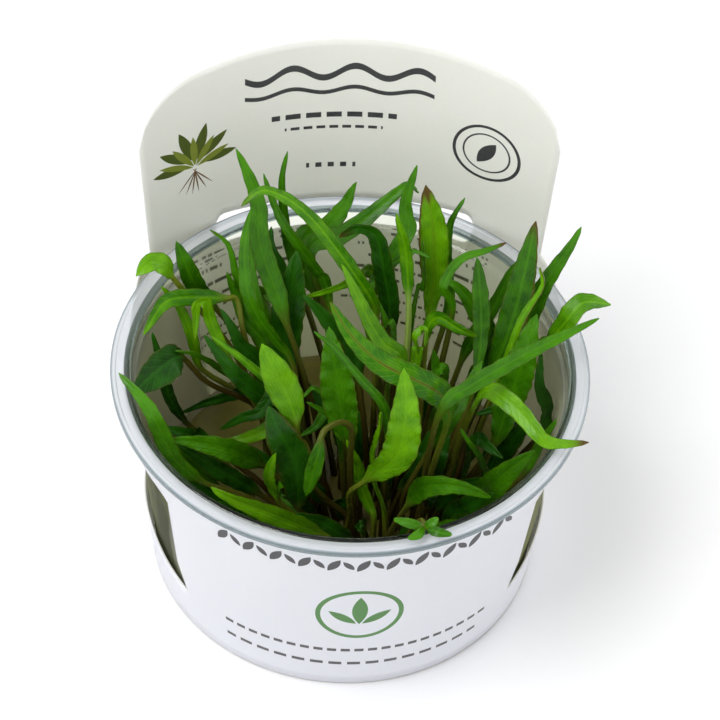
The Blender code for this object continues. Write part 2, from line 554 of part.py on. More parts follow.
class Clump:
    """All the leaves' sections together, which can be parted until no two leaves touch."""

    def __init__(self, leaves):
        counts = [len(leaf["centres"]) for leaf in leaves]
        self.leaves = leaves
        self.first = np.concatenate([[0], np.cumsum(counts)])
        self.centres = np.vstack([leaf["centres"] for leaf in leaves])
        self.sizes = np.vstack([leaf["sizes"] for leaf in leaves])
        owner = np.repeat(np.arange(len(leaves)), counts)
        self.free = np.array([0.0 if leaves[n]["fixed"] else 1.0 for n in owner])
        self.foot = np.zeros(len(owner), bool)
        self.foot[self.first[:-1]] = True
        self.a = np.nonzero(owner[:-1] == owner[1:])[0]
        self.owner = owner[self.a]
        turn = 0.5 * (self.sizes[self.a, 3] + self.sizes[self.a + 1, 3])
        self.is_blade = turn > 0.45
        half = 0.5 * (self.sizes[self.a, 0] + self.sizes[self.a + 1, 0])
        middle = 0.5 * (self.sizes[self.a, 1] + self.sizes[self.a + 1, 1])
        self.thick = np.where(self.is_blade, middle, np.maximum(half, middle))
        widest = np.maximum(self.sizes[self.a, 0], self.sizes[self.a + 1, 0])
        self.reach = np.where(self.is_blade, widest, 0.0)

    def turn_sections(self):
        sides = []
        outs = []
        for n, leaf in enumerate(self.leaves):
            side, out = section_ways(self.centres[self.first[n]:self.first[n + 1]], leaf["roll"])
            sides.append(side)
            outs.append(out)
        self.sides = np.vstack(sides)
        self.outs = np.vstack(outs)

    def offsets(self):
        """Points across each section from margin to margin, measured from its centre."""
        half = self.sizes[:, 0][:, None, None]
        rise = CREASE * self.sizes[:, 3][:, None, None] * half * np.abs(LINES_ACROSS)[None, :, None]
        return self.sides[:, None, :] * half * LINES_ACROSS[None, :, None] + self.outs[:, None, :] * rise

    def near_pairs(self, extra):
        middle = 0.5 * (self.centres[self.a] + self.centres[self.a + 1])
        length = np.linalg.norm(self.centres[self.a + 1] - self.centres[self.a], axis=1)
        size = 0.5 * length + self.reach + self.thick + extra
        apart = np.linalg.norm(middle[:, None] - middle[None], axis=-1)
        near = apart < size[:, None] + size[None]
        near &= self.owner[:, None] < self.owner[None]
        return np.nonzero(near)

    def measure(self, one, two):
        """Closest points between the lines of pairs of leaf pieces."""
        offsets = self.offsets()
        a = self.a[one]
        b = self.a[two]
        wide_a = self.is_blade[one][:, None, None]
        wide_b = self.is_blade[two][:, None, None]
        count = len(LINES_ACROSS)
        i = np.repeat(np.arange(count), count)
        j = np.tile(np.arange(count), count)
        p1 = self.centres[a][:, None] + wide_a * offsets[a][:, i]
        q1 = self.centres[a + 1][:, None] + wide_a * offsets[a + 1][:, i]
        p2 = self.centres[b][:, None] + wide_b * offsets[b][:, j]
        q2 = self.centres[b + 1][:, None] + wide_b * offsets[b + 1][:, j]
        p, q, s, t = closest_on_lines(p1, q1, p2, q2)
        return p - q, s, t

    def find_order(self):
        """Which leaf of each pair lies in front, read from the leaves as they are drawn."""
        facing = FACING / np.linalg.norm(FACING)
        one, two = self.near_pairs(1.5)
        away, s, t = self.measure(one, two)
        depth = away @ facing
        sideways = np.linalg.norm(away - depth[..., None] * facing, axis=-1)
        weight = 1.0 / (0.3 + sideways + 0.3 * np.abs(depth)) ** 3
        weight *= (self.is_blade[one] | self.is_blade[two])[:, None]
        count = len(self.leaves)
        total = np.zeros((count, count))
        votes = (weight * np.clip(depth, -2.0, 2.0)).sum(axis=1)
        np.add.at(total, (self.owner[one], self.owner[two]), votes)
        self.order = np.where(total >= 0.0, 1.0, -1.0)

    def part_once(self):
        """Push all pieces that are too close a little way apart. Returns the greatest lack found."""
        facing = FACING / np.linalg.norm(FACING)
        self.turn_sections()
        one, two = self.near_pairs(0.7)
        away, s, t = self.measure(one, two)
        distance = np.linalg.norm(away, axis=-1)
        blade = self.is_blade[one] | self.is_blade[two]
        need = (self.thick[one] + self.thick[two] + GAP + np.where(blade, 0.2, 0.1))[:, None]
        order = self.order[self.owner[one], self.owner[two]][:, None]
        depth = (away @ facing) * order
        sideways = np.sqrt(np.maximum(distance ** 2 - depth ** 2, 0.0))
        behind = blade[:, None] & (depth < 0.3 * distance) & (sideways < 0.9) & (depth > -3.0)
        lack = np.where(behind, need - depth, need - distance)
        worst = lack.argmax(axis=1)
        rows = np.arange(len(one))
        greatest = lack[rows, worst]
        hit = greatest > 0.0
        rows = rows[hit]
        worst = worst[hit]
        one = one[hit]
        two = two[hit]
        unit = away[rows, worst] / np.maximum(distance[rows, worst], 1e-6)[:, None]
        forward = facing[None] * order[rows]
        direct = unit + np.where(blade[rows], 0.4, 0.0)[:, None] * forward
        direct /= np.maximum(np.linalg.norm(direct, axis=1), 1e-6)[:, None]
        way = np.where(behind[rows, worst][:, None], forward, direct)
        push = way * np.minimum(greatest[hit] * 0.55, 0.5)[:, None]
        moves = np.zeros_like(self.centres)
        weights = np.full(len(self.centres), 1e-6)
        strength = greatest[hit]
        s = s[rows, worst]
        t = t[rows, worst]
        for piece, place, sign in ((one, s, 1.0), (two, t, -1.0)):
            for step, share in ((0, 1.0 - place), (1, place)):
                index = self.a[piece] + step
                heavy = strength * (0.15 + share)
                np.add.at(moves, index, push * sign * heavy[:, None])
                np.add.at(weights, index, heavy)
        moves /= weights[:, None]
        self.shift(moves)
        return float(greatest.max()) if len(greatest) else 0.0

    def shift(self, moves):
        """Move the sections, each neighbour taking part so that every leaf stays smooth."""
        for n in range(len(self.leaves)):
            rows = slice(self.first[n], self.first[n + 1])
            part = moves[rows]
            for times in range(2):
                padded = np.vstack([part[:1], part, part[-1:]])
                part = 0.25 * padded[:-2] + 0.5 * padded[1:-1] + 0.25 * padded[2:]
            moves[rows] = 0.5 * moves[rows] + 0.75 * part
        self.centres += moves * self.free[:, None]

    def keep_clear_of_cup(self):
        """Keep every blade and stalk inside the cup's wall, or above its flange."""
        offsets = self.offsets()
        thick = np.maximum(self.sizes[:, 1], np.where(self.sizes[:, 3] < 0.45, self.sizes[:, 0], 0.0))
        for line in (0, 2, 4):
            points = self.centres + offsets[:, line]
            radius = np.hypot(points[:, 0], points[:, 1])
            z = points[:, 2]
            room = np.where(z > LEDGE_Z, LIP_WALL_RADIUS, wall_inner_radius(z)) - GAP - 0.35 - thick
            top = CUP_HEIGHT + GAP + 0.3 + thick
            over = np.maximum(radius - room, 0.0) * (z < top)
            lift = np.maximum(top - z, 0.0)
            goes_up = (over > 0.0) & (lift < over + 0.8) & (z > LEDGE_Z + 1.0)
            inward = points[:, :2] / np.maximum(radius, 1e-6)[:, None]
            self.centres[:, :2] -= (np.where(goes_up, 0.0, over) * self.free)[:, None] * inward
            self.centres[:, 2] += np.where(goes_up, lift, 0.0) * self.free
        low = np.maximum(self.centres[:, 2], LEAF_FOOT_Z + 0.8)
        self.centres[:, 2] = np.where(self.foot, LEAF_FOOT_Z, low)

    def part(self):
        self.turn_sections()
        self.find_order()
        for times in range(PARTING_ROUNDS):
            lack = self.part_once()
            self.keep_clear_of_cup()
            if lack < 0.04:
                break
        self.turn_sections()
        return lack


def leaf_mesh(centres, sizes, sides, outs):
    """Closed skin of one leaf: six points around each section, a cap at the foot and at the tip."""
    points = []
    for centre, (half, middle, margin, turn), side, out in zip(centres, sizes, sides, outs):
        rise = CREASE * turn * half
        ring = ((-half, rise - margin), (0.0, -middle), (half, rise - margin),
                (half, rise + margin), (0.0, middle), (-half, rise + margin))
        points.extend(centre + side * across + out * up for across, up in ring)
    faces = [(5, 4, 3, 2, 1, 0)]
    for section in range(len(centres) - 1):
        low = section * 6
        for i in range(6):
            j = (i + 1) % 6
            faces.append((low + i, low + j, low + 6 + j, low + 6 + i))
    last = (len(centres) - 1) * 6
    faces.append(tuple(last + i for i in range(6)))
    return points, faces


def shoot_tube(route, radius, count):
    """Sections of a stem that stays round from end to end."""
    centres = along_curve(route, count)
    sizes = np.array([(radius * 0.87, radius, radius * 0.5, 0.0)] * count)
    return centres, sizes


def make_shoot():
    """Young shoot: one stem with small leaves at its head, all one piece."""
    centres, sizes = shoot_tube(SHOOT_STEM, SHOOT_STEM_RADIUS, 8)
    points, faces = leaf_mesh(centres, sizes, *section_ways(centres, 0.0))
    shoot = add_object("young_shoot", points, faces, "bright")
    for number, route in enumerate(SHOOT_LEAVES):
        centres = along_curve(route, 5)
        sizes = section_sizes(centres, SHOOT_LEAF_WIDTH, 0.02)
        sizes[0] = (0.45, 0.45, 0.3, 0.0)
        points, faces = leaf_mesh(centres, sizes, *section_ways(centres, 10.0))
        small = add_object("shoot_leaf_" + str(number), points, faces, "bright")
        union = shoot.modifiers.new("join", "BOOLEAN")
        union.operation = "UNION"
        union.solver = "EXACT"
        union.object = small
        drawn = shoot.evaluated_get(bpy.context.evaluated_depsgraph_get())
        joined = bpy.data.meshes.new_from_object(drawn)
        shoot.modifiers.remove(union)
        shoot.data = joined
        bpy.data.objects.remove(small, do_unlink=True)
    shoot.data.name = "young_shoot"
    return shoot


def leaf_records():
    """Every leaf as drawn, with the shoot's stem among them as one that stays where it is."""
    records = []
    for name, (width, blade_start, roll, count, tone, foot, *points) in LEAVES.items():
        centres = along_curve(leaf_route(foot, points), count, blade_start)
        sizes = section_sizes(centres, width, blade_start, WIDEST_OF.get(name, WIDEST))
        records.append({"name": name, "tone": tone, "roll": roll, "centres": centres, "sizes": sizes,
                        "fixed": False})
    centres, sizes = shoot_tube(SHOOT_STEM, SHOOT_STEM_RADIUS, 8)
    records.append({"name": "young_shoot", "tone": "bright", "roll": 0.0, "centres": centres,
                    "sizes": sizes, "fixed": True})
    return records


def make_leaves():
    leaves = leaf_records()
    clump = Clump(leaves)
    clump.part()
    for n, leaf in enumerate(leaves):
        if leaf["fixed"]:
            continue
        rows = slice(clump.first[n], clump.first[n + 1])
        parted = (clump.centres[rows], clump.sizes[rows], clump.sides[rows], clump.outs[rows])
        points, faces = leaf_mesh(*parted)
        add_object(leaf["name"], points, faces, leaf["tone"])


def main():
    clear_scene()
    make_cup()
    make_gel()
    make_sleeve()
    make_leaves()
    make_shoot()


main()
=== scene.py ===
import math

import bmesh
import bpy
import numpy as np
from mathutils import Matrix, Vector


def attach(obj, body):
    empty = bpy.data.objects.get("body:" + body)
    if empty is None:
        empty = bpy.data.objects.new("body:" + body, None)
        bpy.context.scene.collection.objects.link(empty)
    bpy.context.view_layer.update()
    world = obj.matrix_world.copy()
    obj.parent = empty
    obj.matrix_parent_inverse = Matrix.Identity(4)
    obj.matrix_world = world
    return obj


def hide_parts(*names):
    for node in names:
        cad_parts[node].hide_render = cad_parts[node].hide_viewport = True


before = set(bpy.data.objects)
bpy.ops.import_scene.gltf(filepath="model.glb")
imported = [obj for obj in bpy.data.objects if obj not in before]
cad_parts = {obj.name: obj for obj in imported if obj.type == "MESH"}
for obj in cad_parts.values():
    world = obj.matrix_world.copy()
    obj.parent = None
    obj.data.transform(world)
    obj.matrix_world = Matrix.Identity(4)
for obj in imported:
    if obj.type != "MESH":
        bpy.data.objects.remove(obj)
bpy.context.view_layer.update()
print("solids loaded:", len(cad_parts))

mm = 0.001
rootBody = "root"
facing = np.array([0.0, -0.67, 0.74])      # the way the blades turn their upper faces
colourMix = {"data_type": "RGBA"}
clampedMix = {"data_type": "RGBA", "clamp_factor": True}


def hexColour(code):
    parts = [int(code[i:i + 2], 16) / 255.0 for i in (1, 3, 5)]
    return tuple(p / 12.92 if p <= 0.04045 else ((p + 0.055) / 1.055) ** 2.4 for p in parts) + (1.0,)


def addNode(tree, kind, settings=None, inputs=None):
    node = tree.nodes.new(kind)
    for name, value in (settings or {}).items():
        setattr(node, name, value)
    for key, value in (inputs or {}).items():
        if isinstance(value, bpy.types.NodeSocket):
            tree.links.new(value, node.inputs[key])
        else:
            node.inputs[key].default_value = value
    return node


def workOut(tree, known, steps):
    # each step is a result's name, an operation and its operands: names of results, or numbers
    for result, operation, *operands in steps:
        inputs = {i: known[o] if isinstance(o, str) else o for i, o in enumerate(operands)}
        known[result] = addNode(tree, "ShaderNodeMath", {"operation": operation}, inputs).outputs[0]
    return known


def newMaterial(name, sockets):
    material = bpy.data.materials.new(name)
    material.use_nodes = True
    shader = material.node_tree.nodes["Principled BSDF"]
    for key, value in sockets.items():
        shader.inputs[key].default_value = value
    return material, material.node_tree, shader


def newPiece(name, points, faces, materials, smoothAngle=40.0):
    # points in mm
    mesh = bpy.data.meshes.new(name)
    mesh.from_pydata([tuple(float(c) * mm for c in p) for p in points], [], faces)
    for material in materials:
        mesh.materials.append(material)
    mesh.shade_smooth()
    mesh.set_sharp_from_angle(angle=math.radians(smoothAngle))
    piece = bpy.data.objects.new(name, mesh)
    bpy.context.scene.collection.objects.link(piece)
    return piece


def makePlain(piece):
    # the piece as its modifiers leave it, with none left on it
    graph = bpy.context.evaluated_depsgraph_get()
    mesh = bpy.data.meshes.new_from_object(piece.evaluated_get(graph))
    piece.modifiers.clear()
    piece.data = mesh


def dress(piece, slot, *nodes):
    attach(piece, rootBody)
    if nodes:
        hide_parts(*nodes)


def smoothStep(value):
    value = min(max(value, 0.0), 1.0)
    return value * value * (3.0 - 2.0 * value)


# Camera, floor and light
view = {
    "place": (0.0, -0.38583, 0.48824),
    "aim": (0.00195, 0.0, 0.05880),
    "roll": 3.25,
    "lens": 133.4,
}
forward = (Vector(view["aim"]) - Vector(view["place"])).normalized()
level = forward.cross(Vector((0.0, 0.0, 1.0))).normalized()
upward = level.cross(forward)
tilt = math.radians(view["roll"])
right = level * math.cos(tilt) + upward * math.sin(tilt)
up = upward * math.cos(tilt) - level * math.sin(tilt)
turn = Matrix((right, up, -forward)).transposed().to_4x4()
turn.translation = Vector(view["place"])
cameraData = bpy.data.cameras.new("camera")
cameraData.lens = view["lens"]
cameraData.sensor_width = 36.0
camera = bpy.data.objects.new("camera", cameraData)
camera.matrix_world = turn
bpy.context.scene.collection.objects.link(camera)
bpy.context.scene.camera = camera

studio = {
    "floorSize": 3.0,
    "floorColour": "#f9f9f9",
    "lowSky": 1.06,
    "highSky": 0.4,
    "lamps": {
        "key": {"power": 3.6, "size": 0.42, "place": (-0.30, -0.18, 0.74)},
        "rim": {"power": 1.5, "size": 0.5, "place": (0.42, 0.38, 0.62)},
    },
}
paper, tree, shader = newMaterial("seamlessPaperFloor", {
    "Base Color": hexColour(studio["floorColour"]), "Roughness": 0.8})
half = studio["floorSize"] / 2.0 / mm
floorCorners = [(-half, -half, 0), (half, -half, 0), (half, half, 0), (-half, half, 0)]
floor = newPiece("studio_floor", floorCorners, [(0, 1, 2, 3)], [paper])
world = bpy.data.worlds.new("studio")
world.use_nodes = True
bpy.context.scene.world = world
sky = world.node_tree     # white all round, dimmer overhead so that the leaves keep their depth
way = addNode(sky, "ShaderNodeTexCoord").outputs["Generated"]
rise = addNode(sky, "ShaderNodeSeparateXYZ", inputs={0: way}).outputs[2]
fall = addNode(sky, "ShaderNodeMapRange", {"interpolation_type": "SMOOTHSTEP"},
               {0: rise, 1: 0.3, 2: 0.8, 3: studio["lowSky"], 4: studio["highSky"]})
sky.links.new(fall.outputs[0], sky.nodes["Background"].inputs["Strength"])
sky.nodes["Background"].inputs["Color"].default_value = (1.0, 1.0, 1.0, 1.0)
for name, lampSizes in studio["lamps"].items():
    lamp = bpy.data.lights.new(name + "_light", "AREA")
    lamp.energy = lampSizes["power"]
    lamp.size = lampSizes["size"]
    stand = bpy.data.objects.new(name + "_light", lamp)
    stand.location = lampSizes["place"]
    towards = Vector((0.0, 0.0, 0.05)) - Vector(lampSizes["place"])
    stand.rotation_euler = towards.to_track_quat("-Z", "Y").to_euler()
    bpy.context.scene.collection.objects.link(stand)
bpy.context.scene.view_settings.view_transform = "Standard"
print("camera, floor and light set")

# Cup and gel are turned shapes: one node tree rounds a line of corners and sweeps it round the upright axis
cup = {
    "height": 57.5,
    "flangeRadius": 52.0,
    "flangeThickness": 1.4,
    "lipRadius": 48.0,
    "lipWallRadius": 47.5,
    "lipOuterRadius": 48.1,
    "ledgeZ": 52.8,
    "ledgeRadius": 46.6,
    "floorThickness": 1.2,
    "floorInnerRadius": 42.4,
    "floorOuterRadius": 42.95,
    "wallStartZ": 2.4,
    "segments": 160,
    "cornerSteps": 5,
}


def wallRadius(z):
    share = (z - cup["wallStartZ"]) / (cup["ledgeZ"] - cup["wallStartZ"])
    return cup["floorInnerRadius"] + share * (cup["ledgeRadius"] - cup["floorInnerRadius"])


def turningTree(name, materials):
    # materials: the first everywhere, the second beyond the radius of the input Rim Start
    tree = bpy.data.node_groups.new(name, "GeometryNodeTree")
    tree.is_modifier = True
    sockets = {"Turned": tree.interface.new_socket("Turned", in_out="OUTPUT",
                                                   socket_type="NodeSocketGeometry")}
    for label, kind in (("Profile", "Geometry"), ("Segments", "Int"), ("Corner Steps", "Int"),
                        ("Turning Radius", "Float"), ("Rim Start", "Float")):
        sockets[label] = tree.interface.new_socket(label, in_out="INPUT", socket_type="NodeSocket" + kind)
    given = addNode(tree, "NodeGroupInput").outputs
    line = addNode(tree, "GeometryNodeMeshToCurve", inputs={0: given["Profile"]})
    rounding = addNode(tree, "GeometryNodeInputNamedAttribute", {"data_type": "FLOAT"}, {"Name": "rounding"})
    rounded = addNode(tree, "GeometryNodeFilletCurve", {"mode": "POLY"},
                      {"Curve": line.outputs[0], "Count": given["Corner Steps"],
                       "Radius": rounding.outputs[0], "Limit Radius": True})
    circle = addNode(tree, "GeometryNodeCurvePrimitiveCircle",
                     inputs={"Resolution": given["Segments"], "Radius": given["Turning Radius"]})
    turned = addNode(tree, "GeometryNodeCurveToMesh",
                     inputs={"Curve": circle.outputs[0], "Profile Curve": rounded.outputs[0]})
    outward = addNode(tree, "GeometryNodeFlipFaces", inputs={0: turned.outputs[0]})
    poles = addNode(tree, "GeometryNodeMergeByDistance", inputs={0: outward.outputs[0], "Distance": 0.00001})
    real = addNode(tree, "GeometryNodeRealizeInstances", inputs={0: poles.outputs[0]})
    shape = addNode(tree, "GeometryNodeSetMaterial", inputs={0: real.outputs[0], "Material": materials[0]})
    if len(materials) > 1:
        spot = addNode(tree, "GeometryNodeInputPosition").outputs[0]
        flatSpot = addNode(tree, "ShaderNodeVectorMath", {"operation": "MULTIPLY"},
                           {0: spot, 1: (1.0, 1.0, 0.0)})
        radius = addNode(tree, "ShaderNodeVectorMath", {"operation": "LENGTH"}, {0: flatSpot.outputs[0]})
        beyond = addNode(tree, "FunctionNodeCompare", {"data_type": "FLOAT", "operation": "GREATER_THAN"},
                         {0: radius.outputs["Value"], 1: given["Rim Start"]})
        shape = addNode(tree, "GeometryNodeSetMaterial",
                        inputs={0: shape.outputs[0], "Selection": beyond.outputs[0],
                                "Material": materials[1]})
    addNode(tree, "NodeGroupOutput", inputs={0: shape.outputs[0]})
    return tree, {label: socket.identifier for label, socket in sockets.items()}


def turnedPiece(name, corners, segments, cornerSteps, rimStart, materials, smoothAngle):
    # each corner is (radius, z, rounding) in mm; the first and the last lie on the axis
    turningRadius = 20.0
    line = bpy.data.meshes.new(name + "_profile")
    line.from_pydata([((r - turningRadius) * mm, -z * mm, 0.0) for r, z, rounding in corners],
                     [(i, i + 1) for i in range(len(corners) - 1)], [])
    layer = line.attributes.new("rounding", "FLOAT", "POINT")
    layer.data.foreach_set("value", [rounding * mm for r, z, rounding in corners])
    piece = bpy.data.objects.new(name, line)
    bpy.context.scene.collection.objects.link(piece)
    tree, known = turningTree(name + "Turning", materials)
    turning = piece.modifiers.new("turning", "NODES")
    turning.node_group = tree
    turning[known["Segments"]] = segments
    turning[known["Corner Steps"]] = cornerSteps
    turning[known["Turning Radius"]] = turningRadius * mm
    turning[known["Rim Start"]] = rimStart * mm
    makePlain(piece)
    piece.data.shade_smooth()
    piece.data.set_sharp_from_angle(angle=math.radians(smoothAngle))
    return piece


# clear moulded polypropylene; on its two sides, where the card has its windows, wet film clouds the
# wall olive, in streaks that run down it; its darker outer face is painted shade of the cup's shaded
# inside seen through the window, its paler inner face painted light let in through the card; the rest
# stays clear, with a slight tint low down and a grey line at the lip
wetFilmWithPaintedShade = {
    "side": 1.58,             # radians from the back to the middle of the film
    "half": 0.62,             # radians that it spreads to either hand
    "ragged": 0.2,
    "sideFade": 9.0,
    "topZ": 0.055625,         # in metres, as every length here
    "topFade": 160.0,
    "bottomZ": 0.005,
    "bottomFade": 300.0,
    "taper": 0.0833,          # how much the wall widens for its height
    "midRadius": 0.0425,      # lies between the wall's two faces at its foot
    "innerCloud": 0.6,
    "outerCloud": 0.48,
    "smearCloud": 0.4,
    "roughness": 0.68,
    "streakContrast": 3.0,
    "smearScale": 75.0,       # smears about 13 mm wide
    "drawnDown": 0.3,
}
clearTint = {"roughness": 0.1, "ragged": 0.012, "fromZ": 0.004, "span": 0.042, "lipZ": 0.0563}
clearWall, tree, shader = newMaterial("clearPolypropyleneWithFilmAndPaintedShade", {"IOR": 1.45})
coords = addNode(tree, "ShaderNodeTexCoord").outputs["Object"]
parts = addNode(tree, "ShaderNodeSeparateXYZ", inputs={0: coords}).outputs
drawnDown = addNode(tree, "ShaderNodeVectorMath", {"operation": "MULTIPLY"},
                    {0: coords, 1: (1.0, 1.0, wetFilmWithPaintedShade["drawnDown"])}).outputs[0]
smear = addNode(tree, "ShaderNodeTexNoise", inputs={
    "Vector": drawnDown, "Scale": wetFilmWithPaintedShade["smearScale"], "Detail": 4.0}).outputs["Fac"]
known = workOut(tree, {"x": parts[0], "y": parts[1], "z": parts[2], "smear": smear}, [
    ("turn", "ARCTAN2", "x", "y"), ("fromBack", "ABSOLUTE", "turn"),
    ("off", "SUBTRACT", "fromBack", wetFilmWithPaintedShade["side"]), ("far", "ABSOLUTE", "off"),
    ("ragged", "MULTIPLY_ADD", "smear", -wetFilmWithPaintedShade["ragged"], "far"),
    ("within", "SUBTRACT", wetFilmWithPaintedShade["half"], "ragged"), ("aside", "MULTIPLY", "within", wetFilmWithPaintedShade["sideFade"]),
    ("high", "MULTIPLY_ADD", "z", -wetFilmWithPaintedShade["topFade"], wetFilmWithPaintedShade["topFade"] * wetFilmWithPaintedShade["topZ"]),
    ("low", "MULTIPLY_ADD", "z", wetFilmWithPaintedShade["bottomFade"], -wetFilmWithPaintedShade["bottomFade"] * wetFilmWithPaintedShade["bottomZ"]),
    ("band", "MINIMUM", "high", "low"), ("both", "MINIMUM", "aside", "band"),
    ("some", "MAXIMUM", "both", 0.0), ("film", "MINIMUM", "some", 1.0),
    ("x2", "MULTIPLY", "x", "x"), ("r2", "MULTIPLY_ADD", "y", "y", "x2"), ("radius", "SQRT", "r2"),
    ("untapered", "MULTIPLY_ADD", "z", -wetFilmWithPaintedShade["taper"], "radius"),
    ("outside", "GREATER_THAN", "untapered", wetFilmWithPaintedShade["midRadius"]),
    ("thick", "MULTIPLY_ADD", "outside", wetFilmWithPaintedShade["outerCloud"] - wetFilmWithPaintedShade["innerCloud"],
     wetFilmWithPaintedShade["innerCloud"]),
    ("uneven", "MULTIPLY_ADD", "smear", wetFilmWithPaintedShade["smearCloud"], "thick"),
    ("cloudy", "MULTIPLY", "film", "uneven"), ("through", "SUBTRACT", 1.0, "cloudy"),
    ("rough", "MULTIPLY_ADD", "film", wetFilmWithPaintedShade["roughness"], clearTint["roughness"]),
    ("streak", "MULTIPLY_ADD", "smear", wetFilmWithPaintedShade["streakContrast"], 0.5 * (1.0 - wetFilmWithPaintedShade["streakContrast"])),
    ("lower", "MULTIPLY_ADD", "smear", -clearTint["ragged"], "z"),
    ("from", "SUBTRACT", "lower", clearTint["fromZ"]), ("share", "DIVIDE", "from", clearTint["span"]),
    ("lip", "GREATER_THAN", "z", clearTint["lipZ"])])
tinted = addNode(tree, "ShaderNodeMix", clampedMix,
                 {0: known["share"], 6: hexColour("#dcdfbd"), 7: hexColour("#f2f5e8")}).outputs[2]
# above the lip height the wall turns grey-teal: painted shade where the lip meets the flange
clearWithLipShade = addNode(tree, "ShaderNodeMix", colourMix,
                {0: known["lip"], 6: tinted, 7: hexColour("#7d9188")}).outputs[2]
# the film's paler inner face: painted light, for the light that the card lets into the cup
inner = addNode(tree, "ShaderNodeMix", colourMix,
                {0: smear, 6: hexColour("#dad6a8"), 7: hexColour("#efecd0")}).outputs[2]
# the film's darker outer face: painted shade, for the shaded inside seen through the window
outer = addNode(tree, "ShaderNodeMix", clampedMix,
                {0: known["streak"], 6: hexColour("#40451c"), 7: hexColour("#80854c")}).outputs[2]
filmPaintedLightAndShade = addNode(tree, "ShaderNodeMix", colourMix, {0: known["outside"], 6: inner, 7: outer}).outputs[2]
colour = addNode(tree, "ShaderNodeMix", colourMix, {0: known["film"], 6: clearWithLipShade, 7: filmPaintedLightAndShade}).outputs[2]
tree.links.new(colour, shader.inputs["Base Color"])
tree.links.new(known["through"], shader.inputs["Transmission Weight"])
tree.links.new(known["rough"], shader.inputs["Roughness"])
bump = addNode(tree, "ShaderNodeBump", inputs={"Height": smear, "Strength": 0.05, "Distance": 0.0004})
tree.links.new(bump.outputs["Normal"], shader.inputs["Normal"])

# the flange is thicker, so the same plastic looks milky there and scatters the light, and its outer
# edge, where the eye looks along the plastic, is painted as a thin grey line of shade
milkyFlange, tree, shader = newMaterial("milkyPolypropyleneFlange", {"IOR": 1.49, "Transmission Weight": 0.6})
flangeEdgePaintedShade = {"width": 0.6, "fade": 2200.0}
coords = addNode(tree, "ShaderNodeTexCoord").outputs["Object"]
haze = addNode(tree, "ShaderNodeTexNoise", inputs={
    "Vector": coords, "Scale": 120.0, "Detail": 2.0}).outputs["Fac"]
parts = addNode(tree, "ShaderNodeSeparateXYZ", inputs={0: coords}).outputs
known = workOut(tree, {"haze": haze, "x": parts[0], "y": parts[1]}, [
    ("rough", "MULTIPLY_ADD", "haze", 0.06, 0.17), ("x2", "MULTIPLY", "x", "x"),
    ("r2", "MULTIPLY_ADD", "y", "y", "x2"), ("radius", "SQRT", "r2"),
    ("past", "SUBTRACT", "radius", (cup["flangeRadius"] - flangeEdgePaintedShade["width"]) * mm),
    ("grey", "MULTIPLY", "past", flangeEdgePaintedShade["fade"])])
# painted shade: the grey line round the flange's outer edge
edge = addNode(tree, "ShaderNodeMix", clampedMix,
               {0: known["grey"], 6: hexColour("#f1f4f8"), 7: hexColour("#93a3a8")}).outputs[2]
tree.links.new(edge, shader.inputs["Base Color"])
tree.links.new(known["rough"], shader.inputs["Roughness"])

under = cup["height"] - cup["flangeThickness"]
cupPiece = turnedPiece("culture_cup", [
    (0.0, 0.55, 0),
    (34.0, 0.55, 0.5),
    (36.0, 0.0, 0.5),
    (cup["floorOuterRadius"] - 1.6, 0.0, 0.5),
    (cup["floorOuterRadius"], 1.4, 1.2),
    (cup["ledgeRadius"] + 0.7, cup["ledgeZ"] - 1.0, 0.5),
    (cup["lipOuterRadius"], cup["ledgeZ"], 0.5),
    (cup["lipOuterRadius"], under, 0.25),
    (cup["flangeRadius"] - 1.0, under, 0.15),
    (cup["flangeRadius"] - 0.8, under - 0.12, 0.1),
    (cup["flangeRadius"], under - 0.02, 0.25),
    (cup["flangeRadius"], cup["height"], 0.35),
    (cup["flangeRadius"] - 1.0, cup["height"], 0.2),
    (cup["flangeRadius"] - 1.3, cup["height"] - 0.2, 0.15),
    (cup["lipRadius"] + 1.0, cup["height"] - 0.2, 0.15),
    (cup["lipRadius"] + 0.7, cup["height"], 0.2),
    (cup["lipRadius"] - 0.2, cup["height"], 0.35),
    (cup["lipWallRadius"], cup["height"] - 0.9, 0.5),
    (cup["lipWallRadius"], cup["ledgeZ"] + 0.4, 0.35),
    (cup["ledgeRadius"], cup["ledgeZ"], 0.35),
    (cup["floorInnerRadius"], cup["wallStartZ"], 0.9),
    (cup["floorInnerRadius"] - 1.1, cup["floorThickness"], 0.9),
    (0.0, cup["floorThickness"], 0),
], cup["segments"], cup["cornerSteps"], cup["lipOuterRadius"] + 0.9, [clearWall, milkyFlange], 32.0)
dress(cupPiece, "clear_plastic", "cup")
print("cup made")

# Gel: set agar, warm beige and cloudy, coloured dark olive: painted shade of the cup's inside over the gel's
# own tone
gel = {"top": 12.0, "meniscus": 0.9, "gap": 0.3, "segments": 96}
gelMaterial, tree, shader = newMaterial("setAgarGel", {
    "Roughness": 0.2, "IOR": 1.34, "Subsurface Weight": 0.5, "Subsurface Radius": (1.0, 0.8, 0.4),
    "Subsurface Scale": 0.004})
coords = addNode(tree, "ShaderNodeTexCoord").outputs["Object"]
cloud = addNode(tree, "ShaderNodeTexNoise", inputs={
    "Vector": coords, "Scale": 90.0, "Detail": 4.0}).outputs["Fac"]
